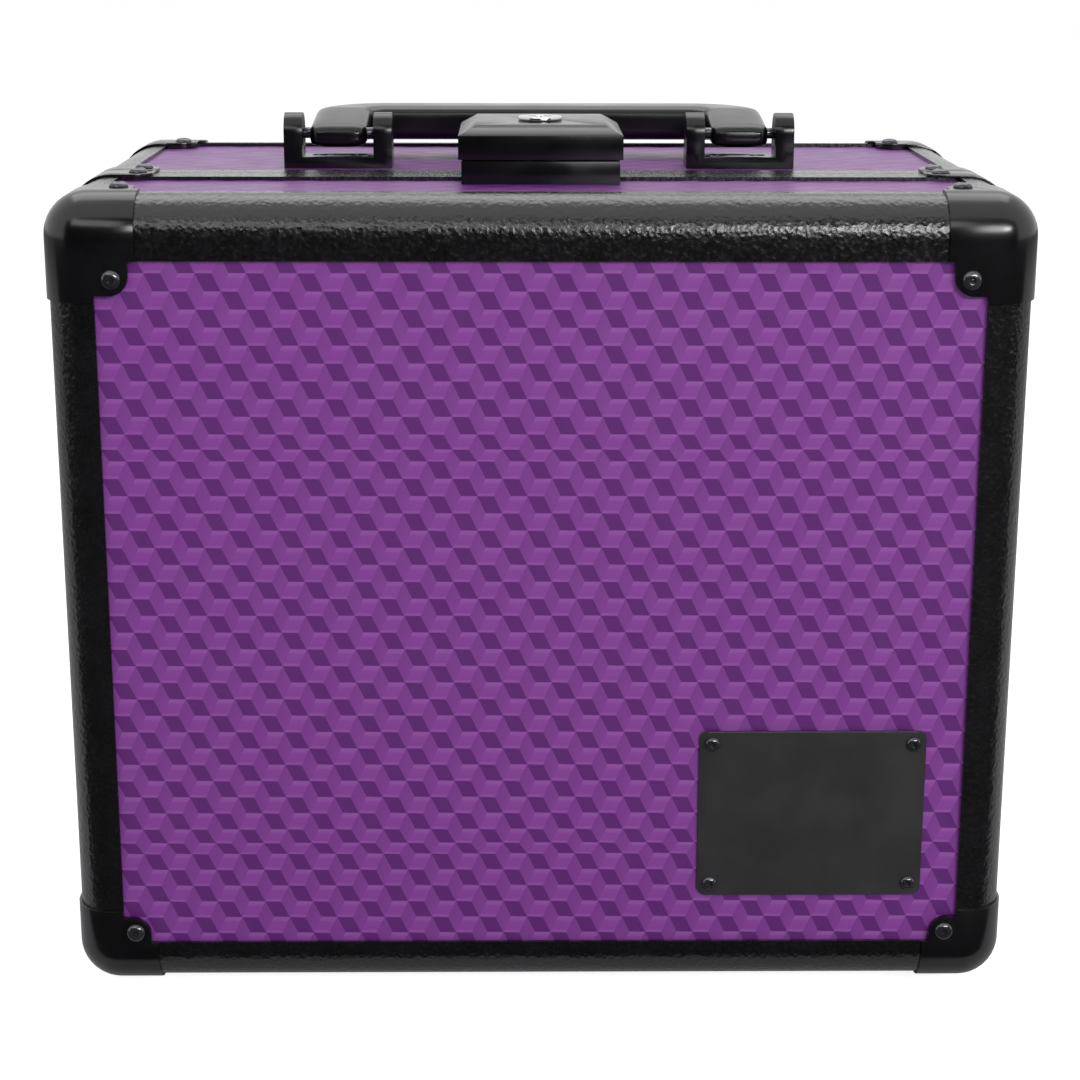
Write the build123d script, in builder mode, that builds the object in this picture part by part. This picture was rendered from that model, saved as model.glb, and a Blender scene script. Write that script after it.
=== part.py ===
from build123d import *
import os

os.makedirs("parts", exist_ok=True)

# A hard card case that stands on its hinge side: a front lid and a rear base, both of
# laminated board held in rounded metal edge sections, with riveted corner caps, a
# folding handle, a hinged box latch and rubber feet. Millimetres, +Z up, front at -Y,
# origin on the floor under the middle of the case.

# Case body, outside the edge sections
case_width = 330.0
case_depth = 203.0
case_height = 281.5
lid_depth = 74.0
seam_gap = 0.4
stand_height = 7.0

# Boards and the edge sections that hold them
board = 4.5
board_fit = 0.1
board_end_gap = 0.2
skin = 1.3
edge_radius = 14.0
slot_end = 11.0
inner_leg = 14.0
lip = 17.0
top_front_lip = 21.0
bar_gap = 0.2

# Tongue and groove sections round the seam
lid_seam_lip = 12.0
base_seam_lip = 10.0
seam_leg = 11.5
lid_web = 2.2
base_web = 5.2
tongue_thickness = 1.6
tongue_length = 2.4
tongue_side_gap = 1.0
tongue_end_gap = 0.7

# Corner caps, seam brackets and their blind rivets
cap_sheet = 1.0
cap_arm = 2.4
top_tab = 11.5
bottom_tab = 9.5
top_rivet_inset = 6.0
bottom_rivet_inset = 4.2
tab_radius = 6.5
bracket_length = 14.0
bracket_tab = 11.0
bracket_rivet_inset = 5.6
rivet_shank = 1.6
rivet_head = 3.3
rivet_crown = 2.2
rivet_rim = 0.5
rivet_height = 1.5
rivet_tail = 0.5
drill_gap = 0.05

# Badge plate
badge_width = 79.5
badge_height = 61.5
badge_sheet = 1.2
badge_gap_side = 13.25
badge_gap_below = 17.75
badge_radius = 3.0
badge_rivet_inset = 4.6
badge_rivet_head = 2.7

# Handle and its two brackets
handle_pivot_back = 110.0
pivot_height = 11.0
bracket_centre = 74.3
bracket_clear_width = 26.2
ear_width = 6.8
ear_radius = 7.5
bracket_floor = 4.1
bracket_screw_step = 7.0
bracket_screw_sink = 1.6
pin_radius = 2.0
running_gap = 0.06
arm_width = 21.0
arm_front = 6.8
handle_bottom = 6.0
handle_top = 18.4
grip_front = 29.0
grip_back = 53.0
handle_corner = 26.0
handle_inner_corner = 6.0
handle_tip = 4.0
handle_round = 3.2

# Latch
latch_front_back = 49.9
latch_width = 55.2
latch_height = 7.8
latch_base_back = 102.6
strike_screw_inset = 6.0
strike_screw_side = 9.6
latch_screw_gap = 9.0
latch_screw_side = 9.1
latch_screw_sink = 2.0
cover_width = 57.4
cover_depth = 54.6
cover_gap = 0.6
cover_edge_height = 16.6
cover_height = 19.8
cover_bevel = 6.0
cover_wall = 1.6
cover_pin_back = 99.0
cover_pin_height = 4.2
cover_pin_radius = 1.5
cheek_offset = 22.5
cheek_width = 3.4
cheek_radius = 3.0
cheek_gap = 0.5
lock_back = 77.0
lock_flange_radius = 7.8
lock_flange_height = 1.5
lock_body_radius = 6.5
lock_body_bottom = 8.8
barrel_radius = 4.5
barrel_neck_radius = 4.2
barrel_sink = 0.3
cam_bottom = 3.0
cam_thickness = 2.0
cam_hook_inner = 8.0
cam_hook_outer = 10.5
cam_hook_angle = 35.0
cam_arm_angle = 42.0
cam_arm_width = 3.0
cam_pocket_gap = 1.5
strike_floor = 2.4
post_width = 3.0
post_depth = 2.4
post_offset = 6.3
keyway_width = 1.4
keyway_length = 6.0
keyway_depth = 4.0
screw_radius = 1.5
screw_head = 2.8
screw_head_height = 1.4

# Hinges under the seam
hinge_centre = 88.0
knuckle_count = 5
knuckle_length = 8.0
knuckle_gap = 0.2
knuckle_radius = 2.6
knuckle_drop = 0.2
leaf_sheet = 1.2
leaf_width = 13.0
leaf_gap = 0.4
hinge_pin_radius = 1.4
hinge_rivet_back = 8.2

# Feet
foot_radius = 8.5
foot_taper = 1.2
foot_side_inset = 37.0
foot_end_inset = 38.0
foot_recess_radius = 3.6
foot_recess = 4.0

# Foam lining: three card rows in the base and a pad in the lid
foam_gap = 0.3
row_width = 86.0
foam_floor_thickness = 12.0
foam_end_wall = 10.0
foam_below_seam = 3.0
lid_pad_thickness = 34.0

front_y = -case_depth / 2
back_y = case_depth / 2
right_x = case_width / 2
bottom_z = stand_height
top_z = bottom_z + case_height
middle_z = (bottom_z + top_z) / 2
seam_y = front_y + lid_depth
lid_face = seam_y - seam_gap / 2
base_face = seam_y + seam_gap / 2
slot_back = skin + board + board_fit
leg_back = slot_back + skin
board_inset = slot_end + board_end_gap
corner_clear = lip + bar_gap
panel_top = top_z - skin
lid_board_back = lid_face - lid_web - board_end_gap
base_board_front = base_face + base_web + board_end_gap
tongue_centre = (leg_back + skin) / 2 - skin / 2


def seats(points, normal):
    """Planes at the points, looking outward, where rivets and screws are set."""
    return [Plane(origin=point, z_dir=normal) for point in points]


def drill(places, radius, depth):
    """Straight holes from the seats inward, cut from the part being built."""
    with Locations(*places):
        Cylinder(radius, depth, align=(Align.CENTER, Align.CENTER, Align.MAX), mode=Mode.SUBTRACT)


def fasteners(places, shank, grip, head, crown, rim, height):
    """One domed fastener at each seat: a shank inward and a tapered head outward."""
    with Locations(*places):
        Cylinder(shank, grip, align=(Align.CENTER, Align.CENTER, Align.MAX))
        Cylinder(head, rim, align=(Align.CENTER, Align.CENTER, Align.MIN))
    raised = [place.offset(rim) for place in places]
    with Locations(*raised):
        Cone(head, crown, height - rim, align=(Align.CENTER, Align.CENTER, Align.MIN))


# Fastener seats
cap_seat_x = right_x - lip
cap_insets = ((top_z, -1, top_front_lip, top_rivet_inset), (bottom_z, 1, lip, bottom_rivet_inset))
front_cap_points = [
    (side * (cap_seat_x - inset), front_y - cap_sheet, z + up * (front_lip + inset))
    for side in (-1, 1)
    for z, up, front_lip, inset in cap_insets
]
flat_cap_points = {
    up: [(side * (cap_seat_x - inset), front_y + lip + inset, z - up * cap_sheet) for side in (-1, 1)]
    for z, up, front_lip, inset in cap_insets
}
side_cap_points = {
    side: [
        (side * (right_x + cap_sheet), front_y + lip + inset, z + up * (front_lip + inset))
        for z, up, front_lip, inset in cap_insets
    ]
    for side in (-1, 1)
}
bracket_seat_x = cap_seat_x - bracket_rivet_inset
bracket_seat_rise = lip + bracket_rivet_inset


def bracket_flat_points(face, way, up, z):
    """Rivet points of the seam brackets on the top or bottom face."""
    return [(side * bracket_seat_x, face + way * bracket_length / 2, z - up * cap_sheet) for side in (-1, 1)]


def bracket_side_points(face, way, side):
    """Rivet points of the seam brackets on one side face."""
    x = side * (right_x + cap_sheet)
    y = face + way * bracket_length / 2
    return [(x, y, bottom_z + bracket_seat_rise), (x, y, top_z - bracket_seat_rise)]


def mirrored_back(points):
    """The same points on the back half of the case."""
    return [(x, -y, z) for x, y, z in points]


up_dir = (0, 0, 1)
down_dir = (0, 0, -1)
front_cap_seats = seats(front_cap_points, (0, -1, 0))
back_cap_seats = seats(mirrored_back(front_cap_points), (0, 1, 0))
lid_flat_seats = {
    1: seats(flat_cap_points[-1] + bracket_flat_points(lid_face, -1, -1, top_z), up_dir),
    -1: seats(flat_cap_points[1] + bracket_flat_points(lid_face, -1, 1, bottom_z), down_dir),
}
base_flat_seats = {
    1: seats(mirrored_back(flat_cap_points[-1]) + bracket_flat_points(base_face, 1, -1, top_z), up_dir),
    -1: seats(mirrored_back(flat_cap_points[1]) + bracket_flat_points(base_face, 1, 1, bottom_z), down_dir),
}
lid_side_seats = {
    side: seats(side_cap_points[side] + bracket_side_points(lid_face, -1, side), (side, 0, 0))
    for side in (-1, 1)
}
base_side_seats = {
    side: seats(
        mirrored_back(side_cap_points[side]) + bracket_side_points(base_face, 1, side), (side, 0, 0)
    )
    for side in (-1, 1)
}
rivet_grip = cap_sheet + leg_back + rivet_tail
rivet_hole = rivet_shank + drill_gap
drill_depth = 2 * rivet_grip

hinge_rivet_steps = (-1.5 * knuckle_length, 0, 1.5 * knuckle_length)
leaf_face = bottom_z - leaf_sheet
hinge_seats = {
    way: seats(
        [
            (side * hinge_centre + step, seam_y + way * hinge_rivet_back, leaf_face)
            for side in (-1, 1)
            for step in hinge_rivet_steps
        ],
        down_dir,
    )
    for way in (-1, 1)
}
foot_top = bottom_z + skin
foot_x = right_x - foot_side_inset
lid_foot_points = [(side * foot_x, front_y + foot_end_inset) for side in (-1, 1)]
base_foot_points = [(side * foot_x, back_y - foot_end_inset) for side in (-1, 1)]


def foot_seats(points):
    """Screw seats on the floors of the recesses in the feet."""
    return seats([(x, y, foot_recess) for x, y in points], down_dir)


foot_screw_grip = foot_top + board - foot_recess
strike_top = panel_top + latch_height
latch_screw_z = strike_top - latch_screw_sink
strike_screw_x = latch_width / 2 - strike_screw_side
strike_screw_y = front_y + latch_front_back + strike_screw_inset
strike_screw_seats = seats(
    [(side * strike_screw_x, strike_screw_y, latch_screw_z) for side in (-1, 1)], up_dir
)
latch_screw_x = latch_width / 2 - latch_screw_side
latch_screw_y = front_y + cover_pin_back - latch_screw_gap
latch_base_screw_seats = seats(
    [(side * latch_screw_x, latch_screw_y, latch_screw_z) for side in (-1, 1)], up_dir
)
latch_screw_grip = latch_height - latch_screw_sink + board + rivet_tail
bracket_screw_z = panel_top + bracket_floor - bracket_screw_sink
bracket_screw_seats = seats(
    [
        (side * bracket_centre + step, front_y + handle_pivot_back, bracket_screw_z)
        for side in (-1, 1)
        for step in (-bracket_screw_step, bracket_screw_step)
    ],
    up_dir,
)
bracket_screw_grip = bracket_floor - bracket_screw_sink + board + rivet_tail
badge_centre_x = right_x - lip - badge_gap_side - badge_width / 2
badge_centre_z = lip + badge_gap_below + badge_height / 2
badge_face = front_y + skin - badge_sheet
badge_rivet_x = badge_width / 2 - badge_rivet_inset
badge_rivet_z = badge_height / 2 - badge_rivet_inset
badge_seats = seats(
    [
        (badge_centre_x + side * badge_rivet_x, badge_face, bottom_z + badge_centre_z + up * badge_rivet_z)
        for side in (-1, 1)
        for up in (-1, 1)
    ],
    (0, -1, 0),
)
badge_rivet_grip = badge_sheet + board
screw_hole = screw_radius + drill_gap

# Boards


def flat_board(y_start, y_end, z_face, up):
    """Top or bottom board between two Y positions, its outer face under the edge lips."""
    z = z_face + up * (skin + board / 2)
    with Locations((0, (y_start + y_end) / 2, z)):
        Box(case_width - 2 * board_inset, y_end - y_start, board)


def side_board(y_start, y_end, side):
    """Side board between two Y positions."""
    x = side * (right_x - skin - board / 2)
    with Locations((x, (y_start + y_end) / 2, middle_z)):
        Box(board, y_end - y_start, case_height - 2 * board_inset)


def face_board(y_face, way):
    """Front or back panel board."""
    with Locations((0, y_face + way * (skin + board / 2), middle_z)):
        Box(case_width - 2 * board_inset, board, case_height - 2 * board_inset)


with BuildPart() as lid_front_panel:
    face_board(front_y, 1)
    drill(front_cap_seats, rivet_hole, drill_depth)
    drill(badge_seats, screw_hole, drill_depth)
lid_front_panel.part.label = "lid_front_panel"
export_step(lid_front_panel.part, "parts/lid_front_panel.step")

with BuildPart() as lid_top_wall:
    flat_board(front_y + board_inset, lid_board_back, top_z, -1)
    drill(lid_flat_seats[1], rivet_hole, drill_depth)
    drill(strike_screw_seats, screw_hole, drill_depth)
lid_top_wall.part.label = "lid_top_wall"
export_step(lid_top_wall.part, "parts/lid_top_wall.step")

with BuildPart() as lid_bottom_wall:
    flat_board(front_y + board_inset, lid_board_back, bottom_z, 1)
    drill(lid_flat_seats[-1], rivet_hole, drill_depth)
    drill(hinge_seats[-1], screw_hole, drill_depth)
    drill(foot_seats(lid_foot_points), screw_hole, drill_depth)
lid_bottom_wall.part.label = "lid_bottom_wall"
export_step(lid_bottom_wall.part, "parts/lid_bottom_wall.step")

with BuildPart() as lid_side_walls:
    for side in (-1, 1):
        side_board(front_y + board_inset, lid_board_back, side)
        drill(lid_side_seats[side], rivet_hole, drill_depth)
lid_side_walls.part.label = "lid_side_walls"
export_step(lid_side_walls.part, "parts/lid_side_walls.step")

with BuildPart() as base_back_panel:
    face_board(back_y, -1)
    drill(back_cap_seats, rivet_hole, drill_depth)
base_back_panel.part.label = "base_back_panel"
export_step(base_back_panel.part, "parts/base_back_panel.step")

with BuildPart() as base_top_wall:
    flat_board(base_board_front, back_y - board_inset, top_z, -1)
    drill(base_flat_seats[1], rivet_hole, drill_depth)
    drill(latch_base_screw_seats + bracket_screw_seats, screw_hole, drill_depth)
base_top_wall.part.label = "base_top_wall"
export_step(base_top_wall.part, "parts/base_top_wall.step")

with BuildPart() as base_bottom_wall:
    flat_board(base_board_front, back_y - board_inset, bottom_z, 1)
    drill(base_flat_seats[-1], rivet_hole, drill_depth)
    drill(hinge_seats[1], screw_hole, drill_depth)
    drill(foot_seats(base_foot_points), screw_hole, drill_depth)
base_bottom_wall.part.label = "base_bottom_wall"
export_step(base_bottom_wall.part, "parts/base_bottom_wall.step")

with BuildPart() as base_side_walls:
    for side in (-1, 1):
        side_board(base_board_front, back_y - board_inset, side)
        drill(base_side_seats[side], rivet_hole, drill_depth)
base_side_walls.part.label = "base_side_walls"
export_step(base_side_walls.part, "parts/base_side_walls.step")

# Rounded edge sections with two board slots


def section_plane(corner, along_a, along_b):
    """Plane of a section: sketch X runs along one outer face, sketch Y along the other."""
    return Plane(origin=corner, x_dir=along_a, z_dir=Vector(*along_a).cross(Vector(*along_b)))


def edge_bar(corner, along_a, along_b, lip_a, lip_b, length):
    """Straight length of the rounded section, centred on its corner point."""
    with BuildSketch(section_plane(corner, along_a, along_b)) as section:
        with BuildLine():
            Polyline(
                (0, 0), (lip_a, 0), (lip_a, skin), (slot_end, skin), (slot_end, slot_back),
                (inner_leg, slot_back), (inner_leg, leg_back), (leg_back, leg_back),
                (leg_back, inner_leg), (slot_back, inner_leg), (slot_back, slot_end),
                (skin, slot_end), (skin, lip_b), (0, lip_b), close=True,
            )
        make_face()
        fillet(section.vertices().sort_by_distance((0, 0, 0))[0], edge_radius)
    extrude(section.sketch, amount=length / 2, both=True)


cross_length = case_width - 2 * corner_clear
upright_length = case_height - 2 * corner_clear


def front_bars():
    """The four edge lengths round the front panel."""
    edge_bar((0, front_y, top_z), (0, 0, -1), (0, 1, 0), top_front_lip, lip, cross_length)
    edge_bar((0, front_y, bottom_z), (0, 0, 1), (0, 1, 0), lip, lip, cross_length)
    for side in (-1, 1):
        edge_bar((side * right_x, front_y, middle_z), (-side, 0, 0), (0, 1, 0), lip, lip, upright_length)


def depth_bars(y_start, y_end):
    """The four edge lengths that run from front to back, and their bracket rivet holes."""
    for side in (-1, 1):
        for z, inward in ((top_z, -1), (bottom_z, 1)):
            corner = (side * right_x, (y_start + y_end) / 2, z)
            edge_bar(corner, (-side, 0, 0), (0, 0, inward), lip, lip, y_end - y_start)


with BuildPart() as lid_front_edges:
    front_bars()
lid_front_edges.part.label = "lid_front_edges"
export_step(lid_front_edges.part, "parts/lid_front_edges.step")

with BuildPart() as base_back_edges:
    mirror(lid_front_edges.part, about=Plane.XZ)
base_back_edges.part.label = "base_back_edges"
export_step(base_back_edges.part, "parts/base_back_edges.step")

with BuildPart() as lid_depth_edges:
    depth_bars(front_y + corner_clear, lid_face)
lid_depth_edges.part.label = "lid_depth_edges"
export_step(lid_depth_edges.part, "parts/lid_depth_edges.step")

with BuildPart() as base_depth_edges:
    depth_bars(base_face, back_y - corner_clear)
base_depth_edges.part.label = "base_depth_edges"
export_step(base_depth_edges.part, "parts/base_depth_edges.step")

# Seam sections, a tongue on the lid and a groove in the base


def seam_bar(origin, inward, into_half, seam_lip, web, length, tongue):
    """Straight length of seam section. Sketch X runs inward, sketch Y away from the seam."""
    with BuildSketch(section_plane(origin, inward, into_half)) as section:
        with BuildLine():
            Polyline(
                (0, 0), (leg_back, 0), (leg_back, seam_leg), (slot_back, seam_leg),
                (slot_back, web), (skin, web), (skin, seam_lip), (0, seam_lip), close=True,
            )
        make_face()
        if tongue:
            with Locations((tongue_centre, -tongue_length / 2)):
                Rectangle(tongue_thickness, tongue_length)
        else:
            groove_depth = tongue_length + tongue_end_gap
            with Locations((tongue_centre, groove_depth / 2)):
                Rectangle(tongue_thickness + 2 * tongue_side_gap, groove_depth, mode=Mode.SUBTRACT)
    extrude(section.sketch, amount=length / 2, both=True)


def seam_frame(face, way, seam_lip, web, tongue):
    """The four seam lengths of one half, between the depth edges."""
    for z, inward in ((top_z, -1), (bottom_z, 1)):
        seam_bar((0, face, z), (0, 0, inward), (0, way, 0), seam_lip, web, cross_length, tongue)
    for side in (-1, 1):
        origin = (side * right_x, face, middle_z)
        seam_bar(origin, (-side, 0, 0), (0, way, 0), seam_lip, web, upright_length, tongue)


with BuildPart() as lid_seam_frame:
    seam_frame(lid_face, -1, lid_seam_lip, lid_web, True)
    drill(lid_flat_seats[1] + lid_flat_seats[-1], rivet_hole, drill_depth)
    drill(lid_side_seats[1] + lid_side_seats[-1], rivet_hole, drill_depth)
    drill(hinge_seats[-1], screw_hole, drill_depth)
lid_seam_frame.part.label = "lid_seam_frame"
export_step(lid_seam_frame.part, "parts/lid_seam_frame.step")

with BuildPart() as base_seam_frame:
    seam_frame(base_face, 1, base_seam_lip, base_web, False)
    drill(base_flat_seats[1] + base_flat_seats[-1], rivet_hole, drill_depth)
    drill(base_side_seats[1] + base_side_seats[-1], rivet_hole, drill_depth)
    drill(hinge_seats[1], screw_hole, drill_depth)
base_seam_frame.part.label = "base_seam_frame"
export_step(base_seam_frame.part, "parts/base_seam_frame.step")

# Rounded three-way corner caps with riveted tabs


def corner_block(start, reach, radius):
    """Block from (start, start, start) to the reach, round on the three edges at its start."""
    near = Vector(start, start, start)
    with BuildPart() as block:
        with Locations(near):
            Box(*[end - start for end in reach], align=(Align.MIN, Align.MIN, Align.MIN))
        at_corner = block.edges().filter_by(
            lambda edge: min((edge @ 0 - near).length, (edge @ 1 - near).length) < seam_gap
        )
        fillet(at_corner, radius)
    return block.part


def cap_outline(plane, arms, tabs, lips):
    """Keeps what lies inside a cap's outline on one face: two arms and a rounded tab."""
    with BuildSketch(plane) as outline:
        with BuildLine():
            Polyline(
                (-edge_radius, -edge_radius), (arms[0], -edge_radius), (arms[0], lips[1]),
                (tabs[0], lips[1]), (tabs[0], tabs[1]), (lips[0], tabs[1]), (lips[0], arms[1]),
                (-edge_radius, arms[1]), close=True,
            )
        make_face()
        fillet(outline.vertices().sort_by_distance((tabs[0], tabs[1], 0))[0], tab_radius)
    extrude(outline.sketch, amount=case_width, both=True, mode=Mode.INTERSECT)


side_plane = Plane(origin=(0, 0, 0), x_dir=(0, 1, 0), z_dir=(1, 0, 0))
front_plane = Plane(origin=(0, 0, 0), x_dir=(1, 0, 0), z_dir=(0, -1, 0))


def corner_cap(front_lip, tab, rivet_inset):
    """Cap for a corner at the origin, with the case in the positive octant."""
    tab_reach = (lip + tab, lip + tab, front_lip + tab)
    arm_reach = [reach + cap_arm for reach in tab_reach]
    outer = corner_block(-cap_sheet, arm_reach, edge_radius + cap_sheet)
    inner = corner_block(0, [2 * reach for reach in arm_reach], edge_radius)
    pad_starts = (lip + bar_gap, lip + bar_gap, front_lip + bar_gap)
    with BuildPart() as cap:
        add(outer)
        add(inner, mode=Mode.SUBTRACT)
        for thin in range(3):
            start = [0 if axis == thin else pad_starts[axis] for axis in range(3)]
            end = [skin if axis == thin else tab_reach[axis] for axis in range(3)]
            with Locations(tuple(start)):
                Box(*[high - low for low, high in zip(start, end)], align=(Align.MIN, Align.MIN, Align.MIN))
        cap_outline(front_plane, (arm_reach[0], arm_reach[2]), (tab_reach[0], tab_reach[2]), (lip, front_lip))
        cap_outline(Plane.XY, arm_reach[:2], tab_reach[:2], (lip, lip))
        cap_outline(side_plane, arm_reach[1:], tab_reach[1:], (lip, lip))
        near = lip + rivet_inset
        far = front_lip + rivet_inset
        holes = (
            seats([(near, -cap_sheet, far)], (0, -1, 0))
            + seats([(near, near, -cap_sheet)], (0, 0, -1))
            + seats([(-cap_sheet, near, far)], (-1, 0, 0))
        )
        drill(holes, rivet_hole, drill_depth)
    return cap.part


lower_cap = corner_cap(lip, bottom_tab, bottom_rivet_inset)
upper_cap = mirror(corner_cap(top_front_lip, top_tab, top_rivet_inset), about=Plane.XY)

with BuildPart() as lid_corner_caps:
    with Locations((-right_x, front_y, bottom_z)):
        add(lower_cap)
    with Locations((-right_x, front_y, top_z)):
        add(upper_cap)
    mirror(about=Plane.YZ)
lid_corner_caps.part.label = "lid_corner_caps"
export_step(lid_corner_caps.part, "parts/lid_corner_caps.step")

with BuildPart() as base_corner_caps:
    mirror(lid_corner_caps.part, about=Plane.XZ)
base_corner_caps.part.label = "base_corner_caps"
export_step(base_corner_caps.part, "parts/base_corner_caps.step")

# Seam corner brackets, bent round the depth edges beside the seam


def round_edge_block(start, reach, length, radius):
    """Block along +Y with its edge at (start, start) rounded."""
    with BuildPart() as block:
        with Locations((start, 0, start)):
            Box(reach - start, length, reach - start, align=(Align.MIN, Align.MIN, Align.MIN))
        fillet(block.edges().filter_by(Axis.Y).sort_by_distance((start, length / 2, start))[0], radius)
    return block.part


def seam_bracket():
    """Bracket for an edge at the origin, with the case in the positive X and Z quadrant."""
    reach = lip + bracket_tab
    outer = round_edge_block(-cap_sheet, reach, bracket_length, edge_radius + cap_sheet)
    inner = round_edge_block(0, 2 * reach, bracket_length, edge_radius)
    near = lip + bracket_rivet_inset
    with BuildPart() as bracket:
        add(outer)
        add(inner, mode=Mode.SUBTRACT)
        fillet(bracket.edges().filter_by(Axis.Z).sort_by_distance((reach, bracket_length, 0))[0], tab_radius)
        fillet(bracket.edges().filter_by(Axis.X).sort_by_distance((0, bracket_length, reach))[0], tab_radius)
        holes = seats([(near, bracket_length / 2, -cap_sheet)], (0, 0, -1))
        holes += seats([(-cap_sheet, bracket_length / 2, near)], (-1, 0, 0))
        drill(holes, rivet_hole, drill_depth)
    return bracket.part


lower_bracket = seam_bracket()
upper_bracket = mirror(lower_bracket, about=Plane.XY)

with BuildPart() as base_seam_brackets:
    with Locations((-right_x, base_face, bottom_z)):
        add(lower_bracket)
    with Locations((-right_x, base_face, top_z)):
        add(upper_bracket)
    mirror(about=Plane.YZ)
base_seam_brackets.part.label = "base_seam_brackets"
export_step(base_seam_brackets.part, "parts/base_seam_brackets.step")

with BuildPart() as lid_seam_brackets:
    mirror(base_seam_brackets.part, about=Plane.XZ.offset(-seam_y))
lid_seam_brackets.part.label = "lid_seam_brackets"
export_step(lid_seam_brackets.part, "parts/lid_seam_brackets.step")


def shell_rivets(places):
    """Blind rivets through caps or brackets, boards and sections."""
    fasteners(places, rivet_shank, rivet_grip, rivet_head, rivet_crown, rivet_rim, rivet_height)


with BuildPart() as lid_rivets:
    shell_rivets(front_cap_seats + lid_flat_seats[1] + lid_flat_seats[-1])
    shell_rivets(lid_side_seats[1] + lid_side_seats[-1])
lid_rivets.part.label = "lid_rivets"
export_step(lid_rivets.part, "parts/lid_rivets.step")

with BuildPart() as base_rivets:
    shell_rivets(back_cap_seats + base_flat_seats[1] + base_flat_seats[-1])
    shell_rivets(base_side_seats[1] + base_side_seats[-1])
base_rivets.part.label = "base_rivets"
export_step(base_rivets.part, "parts/base_rivets.step")

# Bare badge plate and its rivets

with BuildPart() as badge_plate:
    badge_plane = Plane(
        origin=(badge_centre_x, front_y + skin, bottom_z + badge_centre_z), x_dir=(1, 0, 0), z_dir=(0, -1, 0)
    )
    with BuildSketch(badge_plane):
        RectangleRounded(badge_width, badge_height, badge_radius)
    extrude(amount=badge_sheet)
    drill(badge_seats, screw_hole, drill_depth)
badge_plate.part.label = "badge_plate"
export_step(badge_plate.part, "parts/badge_plate.step")

with BuildPart() as badge_rivets:
    fasteners(
        badge_seats, screw_radius, badge_rivet_grip, badge_rivet_head, rivet_crown, rivet_rim, rivet_height
    )
badge_rivets.part.label = "badge_rivets"
export_step(badge_rivets.part, "parts/badge_rivets.step")

# Handle brackets, pins, screws and the folding handle

pivot_y = front_y + handle_pivot_back
pivot_z = top_z + pivot_height
bracket_half = bracket_clear_width / 2 + ear_width


def screw_wells(places):
    """Counterbores above the screw seats, and their clearance holes."""
    with Locations(*places):
        Cylinder(
            screw_head + drill_gap, latch_height,
            align=(Align.CENTER, Align.CENTER, Align.MIN), mode=Mode.SUBTRACT,
        )
    drill(places, screw_hole, drill_depth)


with BuildPart() as handle_brackets:
    for side in (-1, 1):
        end_plane = Plane(
            origin=(side * bracket_centre, pivot_y, pivot_z), x_dir=(0, 1, 0), z_dir=(1, 0, 0)
        )
        with BuildSketch(end_plane):
            Circle(ear_radius)
            with Locations((0, (panel_top - pivot_z) / 2)):
                Rectangle(2 * ear_radius, pivot_z - panel_top)
        extrude(amount=bracket_half, both=True)
        with Locations((side * bracket_centre, pivot_y, panel_top + bracket_floor)):
            Box(
                bracket_clear_width, 4 * ear_radius, 2 * pivot_height,
                align=(Align.CENTER, Align.CENTER, Align.MIN), mode=Mode.SUBTRACT,
            )
        with Locations(end_plane):
            Cylinder(pin_radius, 3 * bracket_half, mode=Mode.SUBTRACT)
    screw_wells(bracket_screw_seats)
handle_brackets.part.label = "handle_brackets"
export_step(handle_brackets.part, "parts/handle_brackets.step")

with BuildPart() as handle_pins:
    for side in (-1, 1):
        pin_plane = Plane(
            origin=(side * bracket_centre, pivot_y, pivot_z), x_dir=(0, 1, 0), z_dir=(1, 0, 0)
        )
        with Locations(pin_plane):
            Cylinder(pin_radius, 2 * bracket_half)
handle_pins.part.label = "handle_pins"
export_step(handle_pins.part, "parts/handle_pins.step")

with BuildPart() as bracket_screws:
    fasteners(
        bracket_screw_seats, screw_radius, bracket_screw_grip, screw_head, rivet_crown, rivet_rim,
        screw_head_height,
    )
bracket_screws.part.label = "bracket_screws"
export_step(bracket_screws.part, "parts/bracket_screws.step")

handle_half = bracket_centre + arm_width / 2
handle_inner = bracket_centre - arm_width / 2
handle_front_y = pivot_y - arm_front
grip_front_y = pivot_y + grip_front
grip_back_y = pivot_y + grip_back

with BuildPart() as handle:
    with BuildSketch(Plane.XY.offset(top_z + handle_bottom)) as plan:
        with BuildLine():
            Polyline(
                (-handle_half, handle_front_y), (-handle_inner, handle_front_y),
                (-handle_inner, grip_front_y), (handle_inner, grip_front_y),
                (handle_inner, handle_front_y), (handle_half, handle_front_y),
                (handle_half, grip_back_y), (-handle_half, grip_back_y), close=True,
            )
        make_face()
        fillet(plan.vertices().group_by(Axis.Y)[-1], handle_corner)
        inner_corners = plan.vertices().filter_by(
            lambda vertex: abs(abs(vertex.X) - handle_inner) < seam_gap and vertex.Y > pivot_y
        )
        fillet(inner_corners, handle_inner_corner)
        fillet(plan.vertices().group_by(Axis.Y)[0], handle_tip)
    extrude(amount=handle_top - handle_bottom)
    rims = handle.faces().sort_by(Axis.Z)[-1].edges() + handle.faces().sort_by(Axis.Z)[0].edges()
    fillet(rims, handle_round)
    with Locations(Plane(origin=(0, pivot_y, pivot_z), x_dir=(0, 1, 0), z_dir=(1, 0, 0))):
        Cylinder(pin_radius + running_gap, case_width, mode=Mode.SUBTRACT)
handle.part.label = "handle"
export_step(handle.part, "parts/handle.step")

# Latch: strike on the lid, base behind the seam, hinged cover and key lock

latch_front_y = front_y + latch_front_back
strike_back_y = lid_face
latch_base_front_y = base_face
latch_back_y = front_y + latch_base_back
lock_y = front_y + lock_back
pin_y = front_y + cover_pin_back
pin_z = panel_top + cover_pin_height
pocket_half = cam_hook_outer + cam_pocket_gap


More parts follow.
